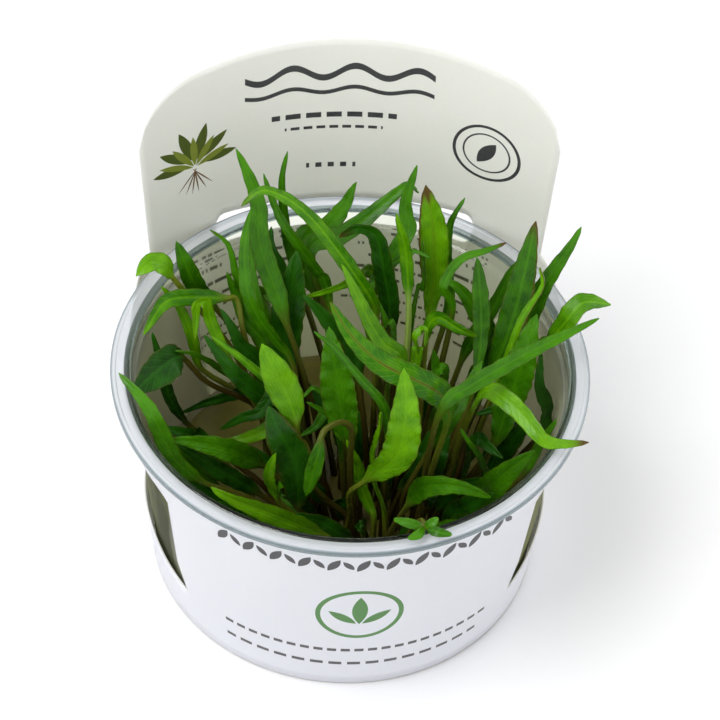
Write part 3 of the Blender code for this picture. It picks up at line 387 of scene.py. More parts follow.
# dark olive: partly the gel's own tone, partly painted shade
gelColourWithPaintedShade = addNode(tree, "ShaderNodeMix", colourMix, {0: cloud, 6: hexColour("#45420f"), 7: hexColour("#7d7838")})
tree.links.new(gelColourWithPaintedShade.outputs[2], shader.inputs["Base Color"])
side = gel["top"] + gel["meniscus"]
gelPiece = turnedPiece("agar_gel", [
    (0.0, cup["floorThickness"] + gel["gap"], 0),
    (cup["floorInnerRadius"] - 1.6, cup["floorThickness"] + gel["gap"], 0.6),
    (cup["floorInnerRadius"] - 0.4, cup["wallStartZ"] + 0.3, 0.8),
    (wallRadius(side) - 0.4, side, 0.08),
    (wallRadius(side) - 1.6, gel["top"] + 0.25, 0.9),
    (wallRadius(side) - 4.5, gel["top"], 2.0),
    (0.0, gel["top"], 0),
], gel["segments"], 5, 90.0, [gelMaterial], 40.0)
dress(gelPiece, "culture_gel", "culture_gel")
print("gel made")

# Sleeve: one sheet of coated card, smooth white outside, warmer and fibrous on the card's front
sleeve = {
    "thickness": 0.4,
    "turn": 4.0,
    "bottomRadius": 43.65,
    "topRadius": 49.05,
    "bottomZ": 0.4,
    "topZ": 55.6,
    "windowFront": 55.0,
    "windowTipTurn": 3.2,
    "windowBottomZ": 12.8,
    "windowSideZ": 22.0,
    "windowTopZ": 45.2,
    "panelAngle": 56.0,
    "cardTopZ": 102.8,
    "cardHalfWidth": 46.0,
    "cardNarrowing": 0.062,      # for each mm below the next height
    "cardFullZ": 85.0,
    "cardArch": 5.2,
    "cornerFrom": 0.74,          # share of the half width where the top corner's round begins
    "cornerDrop": 11.5,
    "cardCentreY": 49.9,
    "cardCurve": 73.0,
    "cardLean": 6.0,
    "freeFromZ": 36.0,
    "freeToZ": 55.0,
    "freeFade": 24.0,            # degrees over which the card's bend runs out
    "slotBottomZ": 50.8,
    "slotTopZ": 58.9,
    "slotEnd": 37.5,
    "slotRound": 3.0,
    "columnStep": 1.5,
    "rowCounts": [4, 4, 8, 3, 3, 3, 22],
}


def cardHalfWidth(z):
    return sleeve["cardHalfWidth"] - sleeve["cardNarrowing"] * max(0.0, sleeve["cardFullZ"] - z)


def cardTop(share):
    across = abs(share)
    arch = sleeve["cardTopZ"] - sleeve["cardArch"] * across ** 2
    corner = max(0.0, (across - sleeve["cornerFrom"]) / (1.0 - sleeve["cornerFrom"]))
    return arch - sleeve["cornerDrop"] * (1.0 - math.sqrt(max(0.0, 1.0 - corner ** 2)))


def sleevePoint(angle, z):
    # degrees from the back; behind, the sheet leaves the cup as it rises and becomes the card
    share = (min(z, sleeve["topZ"]) - sleeve["bottomZ"]) / (sleeve["topZ"] - sleeve["bottomZ"])
    radius = sleeve["bottomRadius"] + share * (sleeve["topRadius"] - sleeve["bottomRadius"])
    sweep = math.radians(angle)
    onCup = np.array([radius * math.sin(sweep), radius * math.cos(sweep)])
    x = max(-1.0, min(1.0, angle / sleeve["panelAngle"])) * cardHalfWidth(z)
    lean = math.tan(math.radians(sleeve["cardLean"])) * max(0.0, z - cup["height"])
    bow = sleeve["cardCurve"] - math.sqrt(sleeve["cardCurve"] ** 2 - x * x)
    onCard = np.array([x, sleeve["cardCentreY"] + lean - bow])
    fade = smoothStep((sleeve["panelAngle"] + sleeve["freeFade"] - abs(angle)) / sleeve["freeFade"])
    if abs(angle) > sleeve["panelAngle"]:
        edge = math.radians(math.copysign(sleeve["panelAngle"], angle))
        onCard = onCup + onCard - np.array([math.sin(edge), math.cos(edge)]) * radius
    free = smoothStep((z - sleeve["freeFromZ"]) / (sleeve["freeToZ"] - sleeve["freeFromZ"])) * fade
    x, y = onCup * (1.0 - free) + onCard * free
    turn = math.radians(sleeve["turn"])
    return (x * math.cos(turn) - y * math.sin(turn), x * math.sin(turn) + y * math.cos(turn), z)


def sleeveColumn(angle):
    # the heights that part one column into rows; how many fine rows lie in each is sleeve's rowCounts
    front = 180.0 - sleeve["windowFront"]
    behind = min(max(front - abs(angle), 0.0), 24.0)
    lower = sleeve["windowBottomZ"] + 0.22 * behind
    upper = sleeve["windowTopZ"] - 0.13 * max(behind - 6.0, 0.0) - 1.3 * math.exp(-behind / 2.0)
    middle = 0.5 * (sleeve["slotBottomZ"] + sleeve["slotTopZ"])
    away = abs(angle) - sleeve["slotEnd"]
    opening = 0.5 * (sleeve["slotTopZ"] - sleeve["slotBottomZ"])
    if -sleeve["slotRound"] < away <= 0.0:
        opening *= math.sqrt(max(1.0 - ((away + sleeve["slotRound"]) / sleeve["slotRound"]) ** 2, 0.0))
    elif 0.0 < away < sleeve["slotRound"]:
        opening *= away / sleeve["slotRound"]
    marks = [sleeve["bottomZ"], lower, sleeve["windowSideZ"], upper, middle - opening]
    topOfSleeve = sleeve["topZ"]
    if abs(angle) <= sleeve["panelAngle"]:
        topOfSleeve = middle + 0.15 * opening
        marks += [topOfSleeve, middle + opening, cardTop(angle / sleeve["panelAngle"])]
    else:
        marks += [topOfSleeve]
    return marks


def sleeveSheet():
    front = 180.0 - sleeve["windowFront"]
    stops = [0.0, sleeve["slotEnd"] - sleeve["slotRound"], sleeve["slotEnd"],
             sleeve["slotEnd"] + sleeve["slotRound"], sleeve["panelAngle"], 80.0, front, 180.0]
    half = [0.0]
    for low, high in zip(stops, stops[1:]):
        step = 0.5 if high - low < 3.5 else sleeve["columnStep"]
        count = max(1, round((high - low) / step))
        half += list(np.linspace(low, high, count + 1)[1:])
    angles = [-a for a in reversed(half)] + half[1:]
    points, firstPoints, faces, across = [], [], [], []
    columns = []
    for angle in angles:
        marks = sleeveColumn(angle)
        heights = [marks[0]]
        for low, high, count in zip(marks, marks[1:], sleeve["rowCounts"]):
            heights += list(np.linspace(low, high, count + 1)[1:])
        spots = []
        for z in heights:
            nearTip = max(0.0, 1.0 - abs(abs(angle) - front) / 9.0)
            nearLow = max(0.0, 1.0 - abs(z - marks[1]) / (marks[2] - marks[1]))
            shifted = angle + math.copysign(sleeve["windowTipTurn"] * nearTip * nearLow, angle)
            spots.append(sleevePoint(shifted, z))
        columns.append(spots)
    starts = np.concatenate([[0], np.cumsum(sleeve["rowCounts"])])
    for column in columns:
        firstPoints.append(len(points))
        points.extend(column)
    for i in range(len(angles) - 1):
        j = i + 1
        here, there = firstPoints[i], firstPoints[j]
        middle = 0.5 * abs(angles[i] + angles[j])
        rows = min(len(columns[i]), len(columns[j])) - 1
        if middle < sleeve["panelAngle"] and rows < starts[-1]:
            rows = min(rows, starts[5])
        for row in range(rows):
            inWindow = sleeve["panelAngle"] < middle < front and starts[1] <= row < starts[3]
            inSlot = middle < sleeve["slotEnd"] and starts[4] <= row < starts[6]
            if not (inWindow or inSlot):
                faces.append((here + row, here + row + 1, there + row + 1, there + row))
                across.append((angles[i], angles[i], angles[j], angles[j]))
    return points, faces, across


# the print covers one sheet of 400 by 200 mm, front half and back half side by side
printSheet = {"wide": 400.0, "high": 200.0, "cardMiddle": 0.75, "frontMiddle": 0.25, "frontRadius": 47.0}


def printPlace(angle, z):
    # where a spot lies on the print: the back half beside the front half
    up = z / printSheet["high"]
    if abs(angle) <= 90.0:
        onCard = angle / sleeve["panelAngle"] * cardHalfWidth(z)
        return (printSheet["cardMiddle"] + onCard / printSheet["wide"], up)
    fromFront = math.radians(math.copysign(180.0, angle) - angle)
    return (printSheet["frontMiddle"] + fromFront * printSheet["frontRadius"] / printSheet["wide"], up)


frontPrint = {
    "grey": [
        ("leafRow", {"s": 1.5, "t": 48.9, "length": 2.5, "width": 1.0, "tilt": 30.0, "pitch": 6.0,
                     "half": 32.0}),
        ("leafRow", {"s": 4.5, "t": 48.9, "length": 1.9, "width": 0.75, "tilt": -38.0, "pitch": 6.0,
                     "half": 32.0}),
        ("dashes", {"s": 2.0, "t": 14.6, "rise": 0.55, "dash": 2.1, "pitch": 3.1, "half": 33.0}),
        ("dashes", {"s": 1.0, "t": 9.0, "rise": 0.55, "dash": 3.0, "pitch": 4.3, "half": 31.0}),
    ],
    "green": [
        ("ring", {"s": 1.5, "t": 29.4, "outer": 9.6, "inner": 8.5}),
        ("leaf", {"s": 1.5, "t": 31.0, "length": 5.4, "width": 1.7, "tilt": 0.0}),
        ("leaf", {"s": -2.2, "t": 28.2, "length": 3.9, "width": 1.2, "tilt": -52.0}),
        ("leaf", {"s": 5.2, "t": 28.2, "length": 3.9, "width": 1.2, "tilt": 52.0}),
    ],
}
tuft = {"s": -34.0, "t": 74.0}     # the drawn tuft on the card: where its leaves meet


def tuftMarks(angles, out, foot, rise, length, width, shorter=0.0, side=1.0):
    # leaf marks that fan out from the tuft's foot
    return [("leaf", {"s": tuft["s"] + out * math.sin(math.radians(a)),
                      "t": tuft["t"] + foot + rise * math.cos(math.radians(a)),
                      "length": length - abs(a) * shorter, "width": width, "tilt": side * a})
            for a in angles]


cardPrint = {
    "grey": [
        ("wave", {"s": -2.0, "t": 94.0, "height": 1.5, "rise": 1.7, "length": 14.0, "half": 21.0}),
        ("wave", {"s": -2.0, "t": 89.2, "height": 0.7, "rise": 1.1, "length": 14.0, "half": 21.0}),
        ("dashes", {"s": -3.0, "t": 82.4, "rise": 0.7, "dash": 3.4, "pitch": 4.6, "half": 14.0}),
        ("dashes", {"s": -3.0, "t": 79.0, "rise": 0.4, "dash": 2.0, "pitch": 2.9, "half": 11.0}),
        ("dashes", {"s": -3.4, "t": 68.4, "rise": 0.65, "dash": 1.4, "pitch": 2.8, "half": 5.6}),
        ("ring", {"s": 31.0, "t": 77.6, "outer": 7.4, "inner": 6.7}),
        ("ring", {"s": 31.0, "t": 77.6, "outer": 5.2, "inner": 4.8}),
        ("leaf", {"s": 31.0, "t": 77.6, "length": 3.6, "width": 1.5, "tilt": 32.0}),
    ],
    "dark green": tuftMarks((-84, -52, -20, 14, 46, 80), 5.4, 1.0, 6.2, 5.2, 1.15, shorter=0.016),
    "light green": tuftMarks((-68, -36, -3, 30, 63), 4.4, 0.5, 4.6, 4.0, 0.8),
    "brown": tuftMarks((-38, -20, -6, 8, 24, 40), 2.6, 0.2, -3.4, 3.6, 0.16, side=-1.0),
}
insideRows = []     # rows of short strokes behind the leaves, in two blocks
for number in range(9):
    for s, shift, reach in ((-21.0, -0.7 * (number % 2), 15.0), (17.0, 0.9 * (number % 3), 17.0)):
        insideRows.append(("strokes", {"s": s + shift, "t": 48.6 - 3.1 * number, "rise": 0.38,
                                       "half": reach - 2.0 * (number % 3), "seed": 3.7 * number + s}))


def markMask(tree, place, kind, m):
    # 1 inside the mark, 0 outside it; s runs across the sheet and t up it, in mm
    known = dict(place)
    steps = [("du", "SUBTRACT", "s", m["s"]), ("dv", "SUBTRACT", "t", m["t"]), ("far", "ABSOLUTE", "du")]
    if kind == "ring":
        steps += [("du2", "MULTIPLY", "du", "du"), ("d2", "MULTIPLY_ADD", "dv", "dv", "du2"),
                  ("d", "SQRT", "d2"),
                  ("in", "LESS_THAN", "d", m["outer"]), ("out", "GREATER_THAN", "d", m["inner"]),
                  ("mask", "MULTIPLY", "in", "out")]
    if kind in ("leaf", "leafRow"):
        c, s = math.cos(math.radians(m["tilt"])), math.sin(math.radians(m["tilt"]))
        if kind == "leafRow":
            steps += [("du", "WRAP", "du", m["pitch"] / 2.0, -m["pitch"] / 2.0)]
        steps += [("a1", "MULTIPLY", "du", s), ("along", "MULTIPLY_ADD", "dv", c, "a1"),
                  ("c1", "MULTIPLY", "dv", -s), ("across", "MULTIPLY_ADD", "du", c, "c1"),
                  ("n", "DIVIDE", "along", m["length"]), ("n2", "MULTIPLY", "n", "n"),
                  ("w", "MULTIPLY_ADD", "n2", -m["width"], m["width"]), ("side", "ABSOLUTE", "across"),
                  ("edge", "SUBTRACT", "w", "side"), ("mask", "GREATER_THAN", "edge", 0.0)]
    if kind == "wave":
        steps += [("turn", "MULTIPLY", "du", 2.0 * math.pi / m["length"]), ("swing", "SINE", "turn"),
                  ("off", "MULTIPLY_ADD", "swing", -m["height"], "dv"), ("side", "ABSOLUTE", "off"),
                  ("mask", "LESS_THAN", "side", m["rise"] / 2.0)]
    if kind == "dashes":
        steps += [("cell", "WRAP", "du", m["pitch"] / 2.0, -m["pitch"] / 2.0),
                  ("cellSide", "ABSOLUTE", "cell"),
                  ("inDash", "LESS_THAN", "cellSide", m["dash"] / 2.0), ("side", "ABSOLUTE", "dv"),
                  ("inRow", "LESS_THAN", "side", m["rise"]), ("mask", "MULTIPLY", "inDash", "inRow")]
    if kind == "strokes":
        # short strokes of uneven length in a row
        steps += [("cell", "SNAP", "du", 0.5), ("key", "MULTIPLY_ADD", "cell", 12.9898, m["seed"] * 7.233),
                  ("wild", "SINE", "key"), ("wilder", "MULTIPLY", "wild", 43.7), ("luck", "FRACT", "wilder"),
                  ("inStroke", "GREATER_THAN", "luck", 0.42), ("side", "ABSOLUTE", "dv"),
                  ("inRow", "LESS_THAN", "side", m["rise"]), ("mask", "MULTIPLY", "inStroke", "inRow")]
    if "half" in m:
        steps += [("near", "LESS_THAN", "far", m["half"]), ("mask", "MULTIPLY", "mask", "near")]
    return workOut(tree, known, steps)["mask"]


def coatedCard(name, base, grain, prints, middle):
    # offset-printed coated board: fine fibre shows as a soft grain, the ink lies flat in the coating,
    # and the thin board lets some light through, so its shaded side isn't black
    material, tree, shader = newMaterial(name, {
        "Roughness": 0.5, "IOR": 1.5, "Subsurface Weight": 0.9, "Subsurface Radius": (1.0, 1.0, 0.9),
        "Subsurface Scale": 0.0012})
    coords = addNode(tree, "ShaderNodeTexCoord").outputs["Object"]
    fibre = addNode(tree, "ShaderNodeTexNoise", inputs={
        "Vector": coords, "Scale": 1400.0, "Detail": 3.0}).outputs["Fac"]
    cloud = addNode(tree, "ShaderNodeTexNoise", inputs={
        "Vector": coords, "Scale": 60.0, "Detail": 2.0}).outputs["Fac"]
    known = workOut(tree, {"fibre": fibre, "cloud": cloud}, [
        ("both", "MULTIPLY_ADD", "fibre", 0.75, "cloud"), ("shade", "MULTIPLY", "both", 0.57)])
    darker = tuple(c * (1.0 - grain) for c in hexColour(base)[:3]) + (1.0,)
    colour = addNode(tree, "ShaderNodeMix", colourMix,
                     {0: known["shade"], 6: darker, 7: hexColour(base)}).outputs[2]
    if prints:
        uv = addNode(tree, "ShaderNodeUVMap", {"uv_map": "print"}).outputs["UV"]
        parts = addNode(tree, "ShaderNodeSeparateXYZ", inputs={0: uv})
        place = workOut(tree, {"u": parts.outputs[0], "v": parts.outputs[1]}, [
            ("u0", "SUBTRACT", "u", middle), ("s", "MULTIPLY", "u0", printSheet["wide"]),
            ("t", "MULTIPLY", "v", printSheet["high"])])
        for ink, marks in prints.items():
            total = None
            for kind, sizes in marks:
                mask = markMask(tree, place, kind, sizes)
                total = mask if total is None else workOut(tree, {"mask": mask, "total": total}, [
                    ("either", "MAXIMUM", "mask", "total")])["either"]
            colour = addNode(tree, "ShaderNodeMix", colourMix,
                             {0: total, 6: colour, 7: hexColour(ink)}).outputs[2]
    tree.links.new(colour, shader.inputs["Base Color"])
    bump = addNode(tree, "ShaderNodeBump", inputs={"Height": fibre, "Strength": 0.12, "Distance": 0.0001})
    tree.links.new(bump.outputs["Normal"], shader.inputs["Normal"])
    return material


outerCard = coatedCard("coatedCardOutside", "#e8eaf4", 0.05, {
    "#4b4a4e": frontPrint["grey"],
    "#4d8240": frontPrint["green"],
}, printSheet["frontMiddle"])
innerCard = coatedCard("coatedCardInside", "#e2e3dd", 0.10, {
    "#3c3d42": cardPrint["grey"],
    "#4c5c1c": cardPrint["dark green"],
    "#7d8a30": cardPrint["light green"],
    "#6b4a2a": cardPrint["brown"],
    "#686960": insideRows,
}, printSheet["cardMiddle"])
cutCard = coatedCard("cutCardEdge", "#f1f1ee", 0.12, None, 0.0)
points, faces, across = sleeveSheet()
sheet = newPiece("card_sleeve", points, faces, [outerCard, innerCard, cutCard], 50.0)
uvLayer = sheet.data.uv_layers.new(name="print")
for polygon, angles in zip(sheet.data.polygons, across):
    onBack = abs(sum(angles)) / 4.0 <= 90.0
    for loop, angle in zip(polygon.loop_indices, angles):
        z = sheet.data.vertices[sheet.data.loops[loop].vertex_index].co.z / mm
        held = angle
        if onBack != (abs(angle) <= 90.0):     # just past the seam of the print: held on its own side
            held = math.copysign(90.0 + (-0.001 if onBack else 0.001), angle)
        uvLayer.data[loop].uv = printPlace(held, z)
wall = sheet.modifiers.new("thickness", "SOLIDIFY")
wall.thickness = sleeve["thickness"] * mm
wall.offset = 0.0
wall.use_even_offset = True
wall.material_offset = 1
wall.material_offset_rim = 2
mesh = bmesh.new()
mesh.from_mesh(sheet.data)
bmesh.ops.remove_doubles(mesh, verts=mesh.verts, dist=0.00001)
mesh.to_mesh(sheet.data)
mesh.free()
makePlain(sheet)
dress(sheet, "label_card", "label_sleeve")
print("sleeve and card made")

# Leaves: width, blade start, roll, sections, tone of green (partly the leaf's own, partly painted light and
# shade), then the route in mm from the foot up
stalk = {"radius": 0.95, "topRadius": 0.75, "footZ": 12.3,
         "kneeFrom": 14.0, "kneeAcross": 0.28, "kneeUp": 0.45}     # a tall stalk stands up before it leans
blade = {"thickness": 0.7, "margin": 0.34, "crease": 0.22, "widest": 0.42, "gap": 0.3, "least": 0.3,
         "opensOver": 0.22, "stalkSide": 0.87, "stalkMargin": 0.5}
linesAcross = np.array([-1.0, -0.5, 0.0, 0.5, 1.0])
# the tone: bright for leaves in the light, deep for leaves in shade, partly painted light and shade
leafRoutes = {
    "leaf_back_left_broad": (4.8, 0.5, -20, 10, "green",
        (-5, 5), (-16, 12, 62), (-21, 17, 75), (-22, 21, 83), (-24, 24, 88), (-27, 28, 93)),
    "leaf_left_glossy_tall": (3.2, 0.45, 15, 10, "green",
        (-8, -3), (-13, 6, 50), (-19, 7, 60), (-23, 9, 69), (-24, 14, 79), (-23, 18, 85)),
    "leaf_centre_arching": (3.8, 0.45, 30, 12, "bright",
        (6, 3), (5, 9, 62), (2, 9, 72), (-7, 13, 84), (-13, 16, 89), (-20, 19, 90), (-25, 21, 83)),
    "leaf_centre_under_arch": (4.2, 0.5, -15, 10, "bright",
        (9, -3), (11, 0, 58), (7, 0, 64), (3, 2, 70), (-3, 6, 82)),
    "leaf_back_left_slim": (2.8, 0.5, 25, 10, "green",
        (-1, 8), (-6, 19, 60), (-9, 20, 66), (-16, 22, 77), (-19, 25, 82), (-21, 28, 86)),
    "leaf_back_left_spear": (2.2, 0.55, 0, 10, "green",
        (-1, 12), (-14, 27, 60), (-16, 27, 72), (-17, 28, 84), (-16, 30, 91)),
    "leaf_left_deep_broad": (7.6, 0.45, -10, 10, "deep",
        (-7, 0), (-14, 6, 46), (-15, 10, 56), (-14, 14, 62), (-13, 18, 73)),
    "leaf_back_wavy": (5.6, 0.5, 0, 10, "green",
        (2, 13), (-12, 28, 62), (-7, 30, 68), (-3, 32, 74), (-1, 33, 80)),
    "leaf_back_right_arch": (4.2, 0.5, 0, 10, "green",
        (5, 10), (-10, 27, 62), (-3, 27, 70), (5, 30, 76), (10, 34, 79), (13, 35, 76)),
    "leaf_back_centre_spear": (3.8, 0.55, 0, 10, "green",
        (9, 7), (4, 16, 60), (6, 19, 68), (11, 24, 75), (10, 27, 80), (12, 30, 89)),
    "leaf_centre_pale_upright": (3.0, 0.7, 15, 10, "bright",
        (10, 0), (12, 5, 50), (12, 11, 63), (11, 15, 74), (10, 16, 80), (8, 17, 87)),
    "leaf_right_brown_tipped": (6.6, 0.5, 5, 10, "bright",
        (14, 3), (17, 19, 56), (17, 22, 68), (16, 24, 78), (14, 26, 87)),
    "leaf_back_right_bent_tip": (2.4, 0.5, 0, 10, "green",
        (14, 10), (21, 21, 54), (20, 25, 65), (20, 28, 72), (21, 29, 76), (23, 31, 79)),
    "leaf_right_yellow_stalk": (2.2, 0.62, -10, 11, "green",
        (16, 1), (21, 9, 58), (21, 10, 68), (19, 10, 73), (22, 13, 78), (27, 14, 80), (32, 17, 80)),
    "leaf_right_bowed": (4.6, 0.6, 30, 10, "green",
        (22, 0), (29, 11, 56), (27, 12, 63), (23, 14, 68), (19, 16, 69)),
    "leaf_right_wet_upright": (4.0, 0.5, -15, 10, "green",
        (20, -6), (27, 0, 50), (28, 7, 62), (27, 12, 70), (26, 16, 76)),
    "leaf_right_tall_broad": (6.4, 0.45, 10, 10, "green",
        (24, 3), (32, 6, 54), (35, 10, 66), (37, 16, 78), (38, 20, 84)),
    "leaf_right_behind_tall": (3.6, 0.5, -20, 9, "green",
        (19, 8), (26, 16, 48), (31, 20, 57), (34, 23, 65), (36, 24, 68)),
    "leaf_right_bright_edge": (2.4, 0.5, 35, 10, "bright",
        (26, -2), (34, 1, 60), (36, 4, 69), (40, 8, 76), (39, 10, 80)),
    "leaf_far_right_spear": (4.0, 0.5, 0, 10, "green",
        (27, 5), (38, 13, 58), (41, 16, 68), (46, 19, 78), (48, 21, 82)),
    "leaf_far_right_folded": (5.0, 0.6, 30, 11, "bright",
        (30, 1), (40, 6, 58), (43, 5, 63), (46, 4, 71), (49, 6, 74), (55, 7, 73)),
    "leaf_right_long_diagonal": (3.6, 0.5, -15, 12, "green",
        (17, -19), (18, -17, 53), (20, -16, 64), (24, -15, 68), (36, -9, 73), (52, 0, 76)),
    "leaf_right_over_rim": (4.2, 0.5, -10, 12, "bright",
        (21, -13), (25, -9, 47), (28, -10, 60), (31, -12, 64), (37, -18, 64), (42, -23, 62), (51, -21, 60)),
    "leaf_right_low_spike": (2.2, 0.6, 0, 9, "green",
        (27, -14), (38, -17, 42), (41, -15, 50), (42, -16, 55), (44, -17, 62)),
    "leaf_right_broad_upright": (7.4, 0.4, 15, 10, "green",
        (27, -9), (33, -5, 40), (35, -2, 51), (37, 0, 63), (39, 4, 72)),
    "leaf_right_deep_broad": (6.0, 0.4, 0, 8, "deep",
        (26, -16), (32, -6, 32), (36, -6, 41), (40, -5, 48)),
    "leaf_front_right_broad": (6.4, 0.4, -10, 8, "green",
        (22, -20), (30, -18, 34), (33, -20, 45), (40, -19, 54)),
    "leaf_front_right_spear": (4.8, 0.45, -25, 10, "green",
        (8, -22), (15, -23, 41), (18, -26, 49), (24, -29, 53), (31, -30, 51)),
    "leaf_right_wet_blade": (4.4, 0.55, -20, 10, "green",
        (14, -12), (13, -13, 28), (18, -13, 45), (22, -12, 56), (28, -4, 65)),
    "leaf_centre_bent": (3.2, 0.7, -30, 11, "bright",
        (16, -5), (16, 6, 56), (17, 8, 63), (19, 7, 66), (23, 5, 65), (27, 6, 62)),
    "leaf_centre_long_broad": (6.0, 0.45, 0, 12, "bright",
        (16, -16), (21, -15, 58), (18, -15, 67), (7, -12, 71), (0, -9, 76), (-5, -5, 82)),
    "leaf_centre_long_slim": (2.2, 0.5, 20, 10, "green",
        (9, -15), (8, -16, 60), (2, -14, 69), (-4, -11, 75), (-8, -10, 78)),
    "leaf_centre_wavy_broad": (7.6, 0.45, 5, 10, "green",
        (4, -9), (0, -10, 44), (-2, -8, 55), (-4, -5, 67), (-5, -3, 72)),
    "leaf_centre_rolled": (2.8, 0.6, 55, 11, "bright",
        (9, 4), (6, 18, 58), (3, 19, 67), (-1, 13, 70), (-5, 10, 70), (-11, 10, 67)),
    "leaf_front_broad_upright": (7.4, 0.5, 5, 12, "bright",
        (-2, -21), (2, -21, 27), (1, -23, 40), (5, -25, 49), (11, -25, 58), (12, -22, 69), (11, -18, 77)),
    "leaf_back_dark_arch": (4.8, 0.5, 35, 11, "deep",
        (11, 3), (8, 14, 60), (6, 16, 71), (4, 18, 79), (0, 18, 81), (-4, 19, 77)),
    "leaf_front_hooked": (3.6, 0.78, 10, 12, "green",
        (3, -17), (1, -17, 42), (1, -17, 55), (-2, -19, 60), (-5, -23, 61), (-6, -26, 57), (-8, -29, 47)),
    "leaf_left_curled": (3.2, 0.6, 30, 9, "bright",
        (-2, -19), (-13, -21, 33), (-16, -22, 44), (-15, -22, 52)),
    "leaf_left_grey_broad": (8.4, 0.42, 0, 9, "deep",
        (-1, -16), (-9, -22, 32), (-10, -21, 41), (-11, -19, 47), (-14, -17, 52), (-17, -13, 57)),
    "leaf_left_bright_broad": (7.2, 0.66, 0, 11, "bright",
        (4, -13), (-7, -15, 33), (-10, -15, 45), (-11, -15, 54), (-13, -13, 60), (-16, -10, 65),
        (-19, -7, 70)),
    "leaf_front_left_spear": (5.0, 0.4, 25, 10, "bright",
        (1, -23), (-2, -28, 31), (-13, -32, 43), (-24, -33, 50), (-28, -32, 52)),
    "leaf_front_low_dark": (4.2, 0.4, 20, 8, "deep",
        (6, -23), (3, -21, 21), (-3, -22, 29), (-10, -23, 34)),
    "leaf_left_lower_broad": (5.4, 0.45, 20, 10, "green",
        (-6, -10), (-17, -10, 32), (-25, -15, 44), (-33, -18, 50), (-38, -19, 51)),
    "leaf_left_low_shade": (4.6, 0.45, 20, 9, "deep",
        (-5, -15), (-17, -15, 28), (-25, -17, 38), (-36, -16, 46)),
    "leaf_far_left_over_rim": (4.2, 0.5, 15, 11, "green",
        (-6, -19), (-18, -18, 30), (-30, -22, 41), (-38, -21, 50), (-42, -18, 60), (-49, -12, 64)),
    "leaf_left_rim_broad": (7.6, 0.76, 0, 10, "deep",
        (-11, -3), (-19, 3, 38), (-28, -1, 47), (-34, -2, 56), (-37, -4, 61), (-41, -9, 62), (-46, -15, 61)),
    "leaf_left_wall_stalk": (2.8, 0.5, 0, 10, "deep",
        (-13, -7), (-33, -1, 32), (-39, -1, 43), (-41, -1, 55), (-43, 0, 64)),
    "leaf_left_low_dark": (3.2, 0.4, 30, 9, "deep",
        (-9, 1), (-20, 10, 34), (-29, 5, 38), (-37, 1, 37)),
    "leaf_left_bent_tip": (5.0, 0.84, -40, 10, "bright",
        (-15, -1), (-24, 8, 46), (-36, 12, 63), (-39, 12, 68), (-41, 12, 72), (-44, 11, 74), (-47, 8, 73)),
    "leaf_left_spoon": (4.4, 0.66, 0, 10, "green",
        (-14, 4), (-22, 14, 42), (-32, 16, 58), (-35, 15, 64), (-37, 15, 70), (-39, 16, 76)),
    "leaf_left_slim_upright": (2.6, 0.6, -10, 10, "bright",
        (-10, 6), (-25, 9, 36), (-33, 8, 44), (-35, 8, 54), (-38, 10, 62), (-42, 11, 67)),
    "leaf_left_arch_over_rim": (3.8, 0.68, 0, 11, "bright",
        (-13, 5), (-23, 9, 52), (-25, 13, 61), (-30, 12, 63), (-36, 10, 65), (-41, 7, 66), (-45, 1, 62)),
    "leaf_left_drooping": (2.8, 0.6, 40, 12, "bright",
        (-9, -6), (-24, 3, 46), (-28, 4, 55), (-31, 6, 62), (-32, 7, 67), (-34, 6, 67), (-34, 5, 63),
        (-34, 3, 59)),
    "leaf_left_diagonal": (4.4, 0.4, -10, 9, "deep",
        (-10, -9), (-18, 0, 42), (-25, 0, 52), (-32, 4, 60)),
    "leaf_left_bright_slim": (2.2, 0.45, 0, 9, "bright",
        (-6, -8), (-14, -5, 50), (-22, -4, 60), (-30, -2, 66)),
    "leaf_left_bent_thin": (2.2, 0.5, 25, 10, "green",
        (-12, 3), (-23, 14, 54), (-26, 17, 66), (-28, 19, 73), (-32, 20, 76)),
}
widestAt = {
    "leaf_right_brown_tipped": 0.62,
    "leaf_right_wet_upright": 0.66,
    "leaf_right_tall_broad": 0.5,
    "leaf_right_broad_upright": 0.55,
    "leaf_left_glossy_tall": 0.5,
    "leaf_left_deep_broad": 0.5,
    "leaf_left_grey_broad": 0.55,
    "leaf_left_bright_broad": 0.52,
    "leaf_left_bent_tip": 0.4,
    "leaf_left_spoon": 0.55,
    "leaf_left_rim_broad": 0.45,
    "leaf_centre_wavy_broad": 0.5,
    "leaf_front_broad_upright": 0.5,
    "leaf_far_right_folded": 0.68,
    "leaf_front_hooked": 0.5,
}

